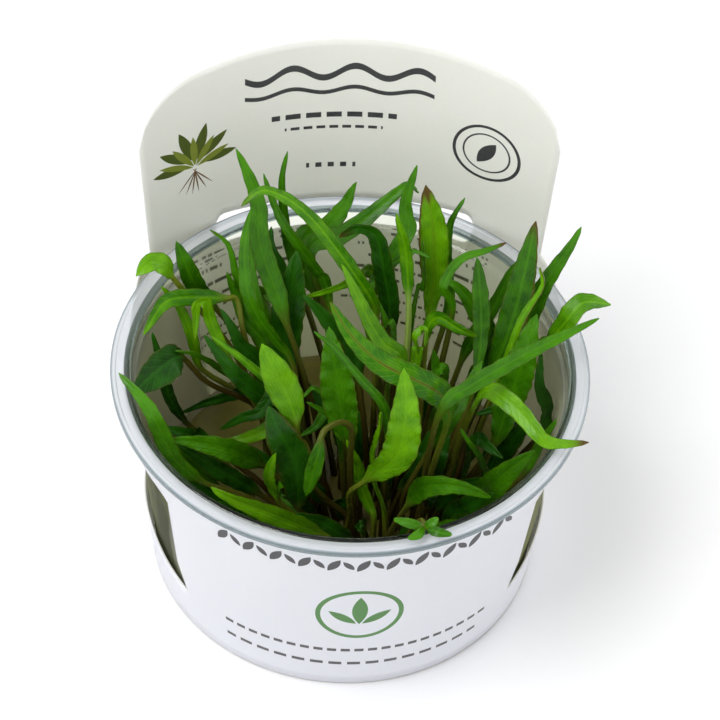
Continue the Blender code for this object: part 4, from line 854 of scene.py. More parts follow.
# Leaves that are only fine surfaces: smaller ones, half hidden in the clump
smallRoutes = {
    "small_left_behind_glossy": (2.6, 0.5, 20, 9, "green",
        (-11, 1), (-15, 12, 47), (-20, 13, 58), (-22, 16, 64), (-23, 19, 68), (-23, 22, 72), (-23, 24, 75)),
    "small_right_inner_dark": (3.4, 0.5, -30, 8, "deep",
        (30, -5), (44, -2, 40), (44, 0, 45), (42, 0, 50), (41, 1, 54), (41, 3, 57), (41, 3, 61)),
    "small_right_shade_flat": (4.0, 0.45, 10, 8, "deep",
        (22, -10), (35, -3, 38), (36, -3, 45), (35, -3, 48), (32, -4, 49), (28, -5, 48)),
    "small_front_right_low": (5.0, 0.35, 0, 8, "deep",
        (18, -25), (24, -20, 28), (25, -20, 33), (27, -22, 38), (30, -23, 42), (32, -24, 45)),
    "small_right_mid_shade": (4.0, 0.45, -10, 8, "deep",
        (20, -14), (26, -9, 34), (27, -8, 41), (29, -9, 45), (31, -12, 46), (34, -14, 45)),
    "small_right_thin_low": (1.6, 0.5, 0, 8, "green",
        (18, -17), (30, -11, 34), (30, -11, 39), (28, -12, 45), (26, -13, 49), (24, -13, 53)),
    "small_right_inner_upright": (4.6, 0.5, -10, 8, "deep",
        (23, -2), (30, 8, 52), (31, 9, 56), (32, 9, 60), (34, 10, 63), (36, 10, 66)),
    "small_centre_dark_slant": (4.4, 0.5, 10, 8, "deep",
        (6, -1), (0, 9, 54), (-4, 8, 60), (-7, 8, 64), (-9, 9, 67), (-11, 9, 69)),
    "small_left_thin_tip": (1.8, 0.5, 30, 9, "green",
        (-12, -11), (-20, 2, 38), (-24, 1, 46), (-27, 1, 50), (-29, 1, 54), (-32, 0, 57), (-35, 0, 59),
        (-38, -1, 60)),
    "small_left_upper_dark": (3.6, 0.5, -15, 8, "deep",
        (-8, -5), (-18, 6, 44), (-21, 8, 49), (-25, 8, 54), (-27, 9, 59), (-29, 10, 62)),
    "small_left_small_tip": (3.2, 0.5, 10, 8, "green",
        (-13, -3), (-21, 12, 50), (-24, 13, 56), (-26, 14, 61), (-27, 15, 65), (-28, 15, 68)),
    "small_left_back_shade": (4.4, 0.5, -5, 8, "deep",
        (-8, 8), (-14, 17, 54), (-16, 18, 60), (-17, 21, 65), (-19, 23, 69), (-19, 26, 72)),
    "small_behind_brown_tip": (1.6, 0.5, 50, 8, "green",
        (15, 5), (14, 18, 60), (15, 18, 64), (15, 20, 69), (14, 21, 75)),
    "small_curly_pale": (2.6, 0.6, 20, 9, "bright",
        (12, -2), (14, 5, 54), (15, 6, 57), (14, 5, 61), (15, 6, 63), (16, 4, 64), (16, 3, 61)),
    "small_right_inner_mid": (4.0, 0.5, 0, 7, "green",
        (14, -3), (18, 5, 49), (18, 6, 52), (17, 6, 57)),
    "small_centre_hook": (2.2, 0.5, 20, 9, "green",
        (8, 3), (4, 14, 62), (7, 18, 67), (9, 18, 70), (11, 19, 73), (12, 19, 74), (14, 18, 74),
        (16, 18, 73)),
    "small_right_shade_low": (4.0, 0.4, 0, 7, "deep",
        (14, -12), (21, -11, 38), (22, -9, 41), (23, -8, 44)),
    "small_centre_back_small": (3.0, 0.5, -20, 7, "green",
        (8, 0), (9, 9, 58), (7, 10, 60), (6, 11, 63), (5, 11, 66)),
    "small_centre_pale_sheath": (2.2, 0.25, 60, 9, "bright",
        (9, -18), (7, -17, 33), (6, -16, 40), (6, -16, 48), (7, -17, 56), (7, -18, 63)),
    "small_front_bright_slim": (3.0, 0.35, 15, 8, "bright",
        (4, -18), (5, -17, 28), (3, -15, 35), (3, -14, 39), (2, -14, 43), (0, -13, 47)),
    "small_centre_olive_arch": (1.6, 0.5, 0, 8, "green",
        (2, -8), (-3, -4, 46), (-5, -3, 50), (-8, -3, 52), (-10, -4, 50)),
    "small_centre_thin_left": (1.8, 0.5, 0, 8, "green",
        (2, -9), (-3, -6, 45), (-4, -5, 46), (-7, -5, 49), (-9, -5, 50)),
    "small_centre_low_left": (3.0, 0.45, 0, 8, "green",
        (3, -8), (-4, -4, 44), (-7, -7, 44), (-10, -8, 42)),
    "small_centre_grey_upright": (3.4, 0.4, 10, 7, "deep",
        (11, -13), (17, -10, 38), (17, -10, 42), (18, -9, 47)),
    "small_left_low_bright": (3.6, 0.45, -10, 8, "bright",
        (-4, -6), (-16, 0, 40), (-19, -2, 39), (-23, -3, 38), (-27, -4, 36)),
    "small_left_low_dark": (3.4, 0.45, 10, 8, "deep",
        (-3, -5), (-16, 1, 43), (-20, -2, 42), (-24, -3, 41), (-28, -4, 38)),
    "small_left_wall_leaf": (4.0, 0.5, 0, 8, "deep",
        (-14, -12), (-32, -7, 38), (-34, -8, 40), (-36, -10, 43), (-40, -11, 46)),
    "small_left_short_bright": (4.4, 0.5, 10, 8, "bright",
        (-8, 2), (-20, 20, 55), (-18, 22, 57), (-15, 24, 59), (-11, 26, 61)),
    "small_front_left_narrow": (1.8, 0.4, 0, 7, "green",
        (-4, -22), (-11, -13, 22), (-10, -13, 26), (-9, -12, 30), (-8, -12, 33)),
    "small_left_small_point": (2.0, 0.5, 0, 7, "green",
        (-4, -4), (-15, 3, 41), (-18, 1, 44), (-20, 0, 46)),
    "small_left_curl_inner": (2.4, 0.45, 30, 8, "green",
        (-5, -20), (-14, -14, 30), (-12, -14, 33), (-13, -13, 36)),
}
# Short leaves low in the clump, all in shade: they close it to the eye from every side
lowLeaves = {
    "seed": 11,
    "count": 24,
    "turn": 0.618,                 # of a whole turn, from one leaf to the next
    "middle": (5.0, -6.0),
    "reach": (22.0, 19.0),
    "lean": 13.0,
    "top": (26.0, 42.0),
    "width": (2.8, 5.0),
    "bladeStart": 0.4,
    "sections": 7,
    "mostLack": 0.4,
}
# more of them lean out to the wall behind the front of the lip
frontLeaves = {
    "count": 12,
    "from": -156.0,                # degrees from the right, as seen from above
    "sweep": 128.0,
    "footRadius": 27.0,
    "tipRadius": (39.0, 42.0),
    "top": (37.0, 47.0),
    "width": (4.0, 6.0),
}
shoot = {
    "stem": ((12, -26, 12.3), (13, -33, 36), (15, -40, 53), (16, -43, 58.5), (17, -45.5, 59.8)),
    "leaves": (
        ((17, -45.5, 59.4), (13, -45, 60), (10.5, -44, 59.5)),
        ((17, -45.5, 59.4), (15.5, -48, 60), (13.5, -49, 59.8)),
        ((17, -45.5, 59.4), (19.5, -47.5, 60.5), (22.5, -47.5, 59.8)),
        ((17, -45.5, 59.4), (18, -46, 61), (19.5, -45, 62)),
    ),
    "stemRadius": 0.55,
    "leafWidth": 1.8,
}


def splinePoints(points, each):
    padded = np.vstack([2.0 * points[0] - points[1], points, 2.0 * points[-1] - points[-2]])
    fine = []
    for i in range(1, len(padded) - 2):
        p0, p1, p2, p3 = padded[i - 1:i + 3]
        for t in np.linspace(0.0, 1.0, each, endpoint=False):
            fine.append(0.5 * (2.0 * p1 + (p2 - p0) * t + (2.0 * p0 - 5.0 * p1 + 4.0 * p2 - p3) * t ** 2
                               + (3.0 * p1 - p0 - 3.0 * p2 + p3) * t ** 3))
    fine.append(points[-1])
    return np.array(fine)


def alongCurve(route, count, bladeStart=0.0):
    # sections stand closer in bends and on the blade
    fine = splinePoints(np.array(route, float), 24)
    steps = np.diff(fine, axis=0)
    lengths = np.linalg.norm(steps, axis=1)
    ways = steps / lengths[:, None]
    turns = np.arccos(np.clip((ways[1:] * ways[:-1]).sum(axis=1), -1.0, 1.0))
    weights = lengths.copy()
    weights[1:] += 9.0 * turns
    weights *= 1.0 + 1.2 * (np.cumsum(lengths) / lengths.sum() > bladeStart)
    travelled = np.concatenate([[0.0], np.cumsum(weights)])
    travelled /= travelled[-1]
    wanted = np.linspace(0.0, 1.0, count)
    return np.array([[np.interp(w, travelled, fine[:, axis]) for axis in range(3)] for w in wanted])


def leafRoute(foot, points):
    start = np.array([foot[0], foot[1], stalk["footZ"]])
    first = np.array(points[0], float)
    knee = start + (first - start) * np.array([stalk["kneeAcross"], stalk["kneeAcross"], stalk["kneeUp"]])
    upper = [np.array(p, float) for p in points]
    return [start] + upper if first[2] - start[2] < stalk["kneeFrom"] else [start, knee] + upper


def sharesAlong(centres):
    travelled = np.concatenate([[0.0], np.cumsum(np.linalg.norm(np.diff(centres, axis=0), axis=1))])
    return travelled / travelled[-1]


def sectionSizes(centres, width, bladeStart, widest):
    # half width, half thickness at the midrib, half thickness at the margin, and 0 for stalk to 1 for blade
    sizes = []
    bend = math.log(0.5) / math.log(widest)
    for share in sharesAlong(centres):
        radius = stalk["radius"] + (stalk["topRadius"] - stalk["radius"]) * min(share / bladeStart, 1.0)
        s = max(0.0, (share - bladeStart) / (1.0 - bladeStart))
        swell = math.sin(math.pi * min(s, 1.0) ** bend) ** 0.8 if 0.0 < s < 1.0 else 0.0
        turn = smoothStep(s / blade["opensOver"])
        bladeHalf = blade["least"] + (width / 2.0 - blade["least"]) * max(swell, 0.0)
        half = radius * blade["stalkSide"] * (1.0 - turn) + turn * bladeHalf
        middle = radius * (1.0 - turn) + blade["thickness"] / 2.0 * turn * (1.0 - 0.3 * s)
        margin = radius * blade["stalkMargin"] * (1.0 - turn) + blade["margin"] / 2.0 * turn
        sizes.append((half, middle, margin, turn))
    return np.array(sizes)


def sectionWays(centres, roll):
    ways = np.gradient(centres, axis=0)
    ways /= np.linalg.norm(ways, axis=1)[:, None]
    if centres[0][2] < stalk["footZ"] + 0.1:
        ways[0] = (0.0, 0.0, 1.0)
    base = len(centres) * 2 // 3
    across = np.cross(ways[base], facing)
    across /= np.linalg.norm(across)
    angle = math.radians(roll)
    across = across * math.cos(angle) + np.cross(across, ways[base]) * math.sin(angle)
    sides = np.zeros_like(centres)
    sides[base] = across
    for order in (range(base + 1, len(centres)), range(base - 1, -1, -1)):
        side = across
        for i in order:
            side = side - ways[i] * (side @ ways[i])
            side /= np.linalg.norm(side)
            sides[i] = side
    outs = np.cross(sides, ways)
    return sides, outs / np.linalg.norm(outs, axis=1)[:, None]


def closestOnLines(p1, q1, p2, q2):
    d1, d2, r = q1 - p1, q2 - p2, p1 - p2
    a, e, f = (d1 * d1).sum(-1), (d2 * d2).sum(-1), (d2 * r).sum(-1)
    c, b = (d1 * r).sum(-1), (d1 * d2).sum(-1)
    s = np.clip((b * f - c * e) / np.maximum(a * e - b * b, 1e-9), 0.0, 1.0)
    t = np.clip((b * s + f) / e, 0.0, 1.0)
    s = np.clip((b * t - c) / a, 0.0, 1.0)
    return p1 + d1 * s[..., None], p2 + d2 * t[..., None], s, t


parting = {
    "rounds": 220,
    "smallRounds": 60,
    "enough": 0.04,          # mm that may be lacking at the end
    "bladeFrom": 0.45,       # a section counts as blade from this share of its opening on
    "bladeSpare": 0.2,       # mm over the gap, as are the next two
    "stalkSpare": 0.1,
    "cupSpare": 0.35,
    "orderReach": 1.5,       # mm within which sections are compared, at first and in each round
    "reach": 0.7,
}


class Clump:
    # all the leaves' sections together, which can be parted until no two leaves touch
    def __init__(self, leaves):
        counts = [len(leaf["centres"]) for leaf in leaves]
        self.leaves = leaves
        self.first = np.concatenate([[0], np.cumsum(counts)])
        self.centres = np.vstack([leaf["centres"] for leaf in leaves])
        self.sizes = np.vstack([leaf["sizes"] for leaf in leaves])
        owner = np.repeat(np.arange(len(leaves)), counts)
        self.free = np.array([0.0 if leaves[n]["fixed"] else 1.0 for n in owner])
        self.foot = np.zeros(len(owner), bool)
        self.foot[self.first[:-1]] = True
        self.a = np.nonzero(owner[:-1] == owner[1:])[0]
        self.owner = owner[self.a]
        turn = 0.5 * (self.sizes[self.a, 3] + self.sizes[self.a + 1, 3])
        self.isBlade = turn > parting["bladeFrom"]
        half = 0.5 * (self.sizes[self.a, 0] + self.sizes[self.a + 1, 0])
        middle = 0.5 * (self.sizes[self.a, 1] + self.sizes[self.a + 1, 1])
        self.thick = np.where(self.isBlade, middle, np.maximum(half, middle))
        widest = np.maximum(self.sizes[self.a, 0], self.sizes[self.a + 1, 0])
        self.reach = np.where(self.isBlade, widest, 0.0)

    def turnSections(self):
        pairs = [sectionWays(self.centres[self.first[n]:self.first[n + 1]], leaf["roll"])
                 for n, leaf in enumerate(self.leaves)]
        self.sides = np.vstack([side for side, out in pairs])
        self.outs = np.vstack([out for side, out in pairs])

    def offsets(self):
        half = self.sizes[:, 0][:, None, None]
        rise = blade["crease"] * self.sizes[:, 3][:, None, None] * half * np.abs(linesAcross)[None, :, None]
        return self.sides[:, None, :] * half * linesAcross[None, :, None] + self.outs[:, None, :] * rise

    def nearPairs(self, extra):
        middle = 0.5 * (self.centres[self.a] + self.centres[self.a + 1])
        length = np.linalg.norm(self.centres[self.a + 1] - self.centres[self.a], axis=1)
        size = 0.5 * length + self.reach + self.thick + extra
        apart = np.linalg.norm(middle[:, None] - middle[None], axis=-1)
        near = apart < size[:, None] + size[None]
        near &= self.owner[:, None] < self.owner[None]
        free = self.free[self.a] > 0.0
        near &= free[:, None] | free[None]
        return np.nonzero(near)

    def measure(self, one, two):
        offsets = self.offsets()
        a, b = self.a[one], self.a[two]
        wideA, wideB = self.isBlade[one][:, None, None], self.isBlade[two][:, None, None]
        count = len(linesAcross)
        i, j = np.repeat(np.arange(count), count), np.tile(np.arange(count), count)
        p1 = self.centres[a][:, None] + wideA * offsets[a][:, i]
        q1 = self.centres[a + 1][:, None] + wideA * offsets[a + 1][:, i]
        p2 = self.centres[b][:, None] + wideB * offsets[b][:, j]
        q2 = self.centres[b + 1][:, None] + wideB * offsets[b + 1][:, j]
        p, q, s, t = closestOnLines(p1, q1, p2, q2)
        return p - q, s, t

    def findOrder(self):
        # which leaf of each pair lies in front, read from the leaves as they are drawn
        toFront = facing / np.linalg.norm(facing)
        one, two = self.nearPairs(parting["orderReach"])
        away, s, t = self.measure(one, two)
        depth = away @ toFront
        sideways = np.linalg.norm(away - depth[..., None] * toFront, axis=-1)
        weight = 1.0 / (0.3 + sideways + 0.3 * np.abs(depth)) ** 3
        weight *= (self.isBlade[one] | self.isBlade[two])[:, None]
        total = np.zeros((len(self.leaves), len(self.leaves)))
        np.add.at(total, (self.owner[one], self.owner[two]), (weight * np.clip(depth, -2.0, 2.0)).sum(axis=1))
        self.order = np.where(total >= 0.0, 1.0, -1.0)

    def partOnce(self):
        toFront = facing / np.linalg.norm(facing)
        self.turnSections()
        one, two = self.nearPairs(parting["reach"])
        away, s, t = self.measure(one, two)
        distance = np.linalg.norm(away, axis=-1)
        isBlade = self.isBlade[one] | self.isBlade[two]
        spare = np.where(isBlade, parting["bladeSpare"], parting["stalkSpare"])
        need = (self.thick[one] + self.thick[two] + blade["gap"] + spare)[:, None]
        order = self.order[self.owner[one], self.owner[two]][:, None]
        depth = (away @ toFront) * order
        sideways = np.sqrt(np.maximum(distance ** 2 - depth ** 2, 0.0))
        behind = isBlade[:, None] & (depth < 0.3 * distance) & (sideways < 0.9) & (depth > -3.0)
        lack = np.where(behind, need - depth, need - distance)
        worst = lack.argmax(axis=1)
        rows = np.arange(len(one))
        greatest = lack[rows, worst]
        self.lacks = np.zeros(len(self.leaves))
        np.maximum.at(self.lacks, self.owner[one], greatest)
        np.maximum.at(self.lacks, self.owner[two], greatest)
        hit = greatest > 0.0
        rows, worst, one, two = rows[hit], worst[hit], one[hit], two[hit]
        unit = away[rows, worst] / np.maximum(distance[rows, worst], 1e-6)[:, None]
        ahead = toFront[None] * order[rows]
        direct = unit + np.where(isBlade[rows], 0.4, 0.0)[:, None] * ahead
        direct /= np.maximum(np.linalg.norm(direct, axis=1), 1e-6)[:, None]
        way = np.where(behind[rows, worst][:, None], ahead, direct)
        push = way * np.minimum(greatest[hit] * 0.55, 0.5)[:, None]
        moves = np.zeros_like(self.centres)
        weights = np.full(len(self.centres), 1e-6)
        strength = greatest[hit]
        for piece, place, sign in ((one, s[rows, worst], 1.0), (two, t[rows, worst], -1.0)):
            for step, share in ((0, 1.0 - place), (1, place)):
                heavy = strength * (0.15 + share)
                np.add.at(moves, self.a[piece] + step, push * sign * heavy[:, None])
                np.add.at(weights, self.a[piece] + step, heavy)
        moves /= weights[:, None]
        for n in range(len(self.leaves)):
            span = slice(self.first[n], self.first[n + 1])
            eased = moves[span]
            for times in range(2):
                padded = np.vstack([eased[:1], eased, eased[-1:]])
                eased = 0.25 * padded[:-2] + 0.5 * padded[1:-1] + 0.25 * padded[2:]
            moves[span] = 0.5 * moves[span] + 0.75 * eased
        self.centres += moves * self.free[:, None]
        return float(greatest.max()) if len(greatest) else 0.0

    def keepClearOfCup(self):
        offsets = self.offsets()
        isStalk = self.sizes[:, 3] < parting["bladeFrom"]
        thick = np.maximum(self.sizes[:, 1], np.where(isStalk, self.sizes[:, 0], 0.0))
        for line in (0, 2, 4):
            points = self.centres + offsets[:, line]
            radius = np.hypot(points[:, 0], points[:, 1])
            z = points[:, 2]
            wall = np.where(z > cup["ledgeZ"], cup["lipWallRadius"], wallRadius(z))
            room = wall - blade["gap"] - parting["cupSpare"] - thick
            top = cup["height"] + blade["gap"] + 0.3 + thick
            over = np.maximum(radius - room, 0.0) * (z < top)
            lift = np.maximum(top - z, 0.0)
            goesUp = (over > 0.0) & (lift < over + 0.8) & (z > cup["ledgeZ"] + 1.0)
            inward = points[:, :2] / np.maximum(radius, 1e-6)[:, None]
            self.centres[:, :2] -= (np.where(goesUp, 0.0, over) * self.free)[:, None] * inward
            self.centres[:, 2] += np.where(goesUp, lift, 0.0) * self.free
        low = np.maximum(self.centres[:, 2], stalk["footZ"] + 0.8)
        self.centres[:, 2] = np.where(self.foot, stalk["footZ"], low)

    def part(self, rounds):
        self.turnSections()
        self.findOrder()
        for times in range(rounds):
            lack = self.partOnce()
            self.keepClearOfCup()
            if lack < parting["enough"]:
                break
        self.turnSections()
        return times, lack


def drawnLeaf(name, row, fixed=False):
    width, bladeStart, roll, count, tone, foot, *points = row
    centres = alongCurve(leafRoute(foot, points), count, bladeStart)
    return {"name": name, "tone": tone, "roll": roll, "centres": centres, "fixed": fixed, "width": width,
            "bladeStart": bladeStart, "widest": widestAt.get(name, blade["widest"]),
            "sizes": sectionSizes(centres, width, bladeStart, widestAt.get(name, blade["widest"]))}


leaves = [drawnLeaf(name, row) for name, row in leafRoutes.items()]
stemCentres = alongCurve(shoot["stem"], 8)
stemSize = (shoot["stemRadius"] * 0.87, shoot["stemRadius"], shoot["stemRadius"] * 0.5, 0.0)
leaves.append({"name": "young_shoot", "roll": 0.0, "centres": stemCentres, "fixed": True,
               "sizes": np.array([stemSize] * 8)})
clump = Clump(leaves)
rounds, lack = clump.part(parting["rounds"])
print("leaves parted in", rounds, "rounds, lack %.2f mm" % lack)
for n, leaf in enumerate(leaves):
    span = slice(clump.first[n], clump.first[n + 1])
    leaf["centres"], leaf["sides"], leaf["outs"] = clump.centres[span], clump.sides[span], clump.outs[span]

# How a leaf's surface differs from the rest: wave of its margins in mm, and where it is brown; a given own
# value sets its green lighter or darker, partly its own tone, partly painted light and shade for how lit it
# stands
leafLooks = {
    "leaf_back_wavy": {"wave": 0.5, "pitch": 4.5},
    "leaf_back_left_broad": {"wet": 0.1},
    "leaf_left_arch_over_rim": {"own": -0.3},
    "leaf_centre_bent": {"own": -0.2, "wet": 0.5},
    "leaf_front_left_spear": {"own": 1.2},
    "leaf_left_bright_broad": {"own": 0.9},
    "leaf_left_bright_slim": {"own": -0.2},
    "leaf_centre_wavy_broad": {"wave": 0.4, "pitch": 4.2},
    "leaf_front_broad_upright": {"wave": 0.35, "pitch": 5.0},
    "leaf_right_broad_upright": {"wave": 0.45, "pitch": 5.0},
    "leaf_centre_long_broad": {"wave": 0.3, "pitch": 6.0, "ribBrown": 0.9, "own": -0.5, "wet": 0.4},
    "leaf_right_brown_tipped": {"wave": 0.3, "pitch": 5.0, "tipBrown": 0.9, "leftBrown": 0.8,
                                "ribBrown": 0.5},
    "leaf_centre_arching": {"tipBrown": 0.5, "own": -0.3, "wet": 0.5},
    "leaf_centre_rolled": {"tipBrown": 0.5},
    "leaf_right_yellow_stalk": {"tipBrown": 0.8},
    "leaf_right_tall_broad": {"tipBrown": 0.7, "rightBrown": 0.6, "wave": 0.3, "pitch": 6.0},
    "leaf_right_bright_edge": {"rightBrown": 0.8},
    "leaf_left_glossy_tall": {"wave": 0.25, "pitch": 6.0, "wet": 1.0},
    "leaf_right_wet_upright": {"wet": 1.0, "wave": 0.25},
    "leaf_right_wet_blade": {"wet": 1.0},
    "leaf_right_long_diagonal": {"wet": 0.9},
    "leaf_back_dark_arch": {"tipBrown": 0.7, "wet": 0.8},
    "leaf_left_drooping": {"tipBrown": 0.3},
    "leaf_left_grey_broad": {"leftBrown": 0.3, "rightBrown": 0.45, "wave": 0.25, "wet": 0.5},
    "leaf_right_over_rim": {"tipBrown": 0.8, "wet": 0.5},
    "leaf_centre_pale_upright": {"pale": 1.0},
    "leaf_left_bent_thin": {"tipBrown": 0.4},
    "leaf_far_right_folded": {"wave": 0.3, "pale": 0.5},
    "leaf_right_deep_broad": {"wet": 0.7, "rightBrown": 0.4},
    "leaf_front_right_broad": {"wet": 0.6},
    "leaf_far_left_over_rim": {"wave": 0.2, "wet": 0.5, "tipBrown": 0.3},
    "leaf_left_deep_broad": {"wet": 0.9},
    "leaf_left_rim_broad": {"wet": 0.2, "wave": 0.25, "own": 0.0},
}
leafSurface = {
    "ring": 28,              # points round each section
    "each": 8,               # fine sections for each coarse one
    "ribWidth": 0.3,
    "ribDepth": 0.12,
    "quilt": 0.06,
    "longQuilt": 9.0,        # mm from one long swell to the next
    "fold": 0.1,
    "wave": 0.14,
    "wavePitch": 6.5,
    "veinPitch": 2.4,
    "veinLag": 2.2,          # how far side veins bend towards the tip
    "veinBend": 0.75,
    "mostWet": 0.45,
    "endFrom": 0.985,        # share of the length where the rounding of the tip begins
}


def fineLeaf(leaf, seed):
    # points round each fine section, in mm, with the values that the materials read
    looks = leafLooks.get(leaf["name"], {})
    luck = np.random.default_rng(seed)
    each = leafSurface["each"]
    centres = splinePoints(leaf["centres"], each)
    coarse = np.arange(len(leaf["centres"]))
    fine = np.linspace(0.0, len(coarse) - 1.0, len(centres))
    sides = np.array([np.interp(fine, coarse, leaf["sides"][:, k]) for k in range(3)]).T
    ways = np.gradient(centres, axis=0)
    ways /= np.linalg.norm(ways, axis=1)[:, None]
    sides -= ways * (sides * ways).sum(axis=1)[:, None]
    sides /= np.linalg.norm(sides, axis=1)[:, None]
    outs = np.cross(sides, ways)
    sizes = sectionSizes(centres, leaf["width"], leaf["bladeStart"], leaf["widest"])
    half, middle, margin, turn = sizes.T
    share = sharesAlong(centres)
    length = np.linalg.norm(np.diff(centres, axis=0), axis=1).sum()
    end = np.clip((share - leafSurface["endFrom"]) / (1.0 - leafSurface["endFrom"]), 0.0, 1.0)
    half = half * (1.0 - 0.65 * end)
    middle = middle * (1.0 - 0.5 * end)
    around = 2.0 * math.pi * np.arange(leafSurface["ring"]) / leafSurface["ring"]
    v = np.cos(around)[None, :]
    w = np.sin(around)[None, :]
    h, m, g, b = (a[:, None] for a in (half, middle, margin, turn))
    thick = g + (m - g) * (1.0 - np.abs(v) ** 1.5)
    rise = blade["crease"] * b * h * np.abs(v) ** 1.25
    rib = np.exp(-(v * h / leafSurface["ribWidth"]) ** 2) * b
    groove = np.where(w > 0, -leafSurface["ribDepth"], -leafSurface["ribDepth"] * 1.6) * rib
    wave = looks.get("wave", leafSurface["wave"]) * np.abs(v) ** 2 * b * np.minimum(h / 1.6, 1.0)
    along = (share * length)[:, None]
    phase = luck.uniform(0.0, 6.28, 4)
    pitch = looks.get("pitch", leafSurface["wavePitch"])
    ripple = np.sin(2 * math.pi * along / pitch + phase[0] + np.where(v > 0, 0.0, 2.1)) \
        + 0.4 * np.sin(2 * math.pi * along / (pitch * 0.43) + phase[1] + np.where(v > 0, 1.3, 0.0))
    fold = leafSurface["fold"] * luck.uniform(-1.0, 1.0) * b * h * v * np.abs(v)     # one half stands steeper
    spread = 1.0 + b * 0.035 * np.abs(v) * np.sin(2 * math.pi * along / (pitch * 0.6) + phase[2])
    veinPlace = along - leafSurface["veinLag"] * np.abs(v * h) ** leafSurface["veinBend"]
    quilt = leafSurface["quilt"] * b * np.abs(v) * np.sin(2 * math.pi * veinPlace / leafSurface["veinPitch"])
    swell = np.sin(2 * math.pi * along / leafSurface["longQuilt"] + phase[3])
    quilt = quilt + leafSurface["quilt"] * b * swell * v
    across = sides[:, None, :] * (h * v * spread)[..., None]
    lift = outs[:, None, :] * (rise + fold + thick * w + groove + quilt + wave * ripple * 0.7)[..., None]
    points = centres[:, None, :] + across + lift
    tipward = np.clip((share - leaf["bladeStart"]) / (1.0 - leaf["bladeStart"]), 0.0, 1.0)[:, None]
    fromBase = np.clip(tipward * 3 - 0.6, 0.0, 1.0)
    brown = looks.get("tipBrown", 0.0) * np.clip((tipward - 0.86) / 0.12, 0.0, 1.0) \
        + looks.get("ribBrown", 0.0) * rib * 0.8 \
        + looks.get("leftBrown", 0.0) * np.clip((-v - 0.72) / 0.2, 0.0, 1.0) * fromBase \
        + looks.get("rightBrown", 0.0) * np.clip((v - 0.72) / 0.2, 0.0, 1.0) * fromBase
    whole = np.ones(points.shape[:2])
    values = {
        "blade": b * whole,
        "brown": np.clip(brown, 0.0, 1.0) * whole,
        "under": np.clip(-w * 3.0, 0.0, 1.0) * whole,
        "rib": rib * whole,
        "tip": tipward * whole,
        # own: a random tone of the leaf's own, unless given, where it also paints light and shade
        "own": looks.get("own", luck.uniform(0.0, 1.0)) * whole,
        "edge": np.clip((np.abs(v) - 0.86) / 0.14, 0.0, 1.0) * b,
        "grown": np.clip(share / leaf["bladeStart"], 0.0, 1.0)[:, None] * whole,
        "pale": looks.get("pale", 0.0) * whole,
        "wet": looks.get("wet", luck.uniform(0.0, leafSurface["mostWet"])) * whole,
    }
    uv = np.stack([along * 0.01 * whole, 0.5 + v * h * 0.05], axis=-1)     # in units of 100 mm and 20 mm
    return points, values, uv


def leafMesh(name, fine, material):
    points, values, uv = fine
    rows, ring = points.shape[:2]
    flat = points.reshape(-1, 3)
    faces = [tuple(range(ring - 1, -1, -1))]
    for row in range(rows - 1):
        low = row * ring
        for i in range(ring):
            j = (i + 1) % ring
            faces.append((low + i, low + j, low + ring + j, low + ring + i))
    faces.append(tuple((rows - 1) * ring + i for i in range(ring)))
    piece = newPiece(name, flat, faces, [material], 60.0)
    for key, value in values.items():
        layer = piece.data.attributes.new(key, "FLOAT", "POINT")
        layer.data.foreach_set("value", np.ascontiguousarray(value, dtype=np.float32).ravel())
    layer = piece.data.uv_layers.new(name="surface")
    flatUv = uv.reshape(-1, 2)
    for loop in piece.data.loops:
        layer.data[loop.index].uv = flatUv[loop.vertex_index]
    mesh = bmesh.new()
    mesh.from_mesh(piece.data)
    bmesh.ops.recalc_face_normals(mesh, faces=mesh.faces)
    mesh.to_mesh(piece.data)
    mesh.free()
    return piece


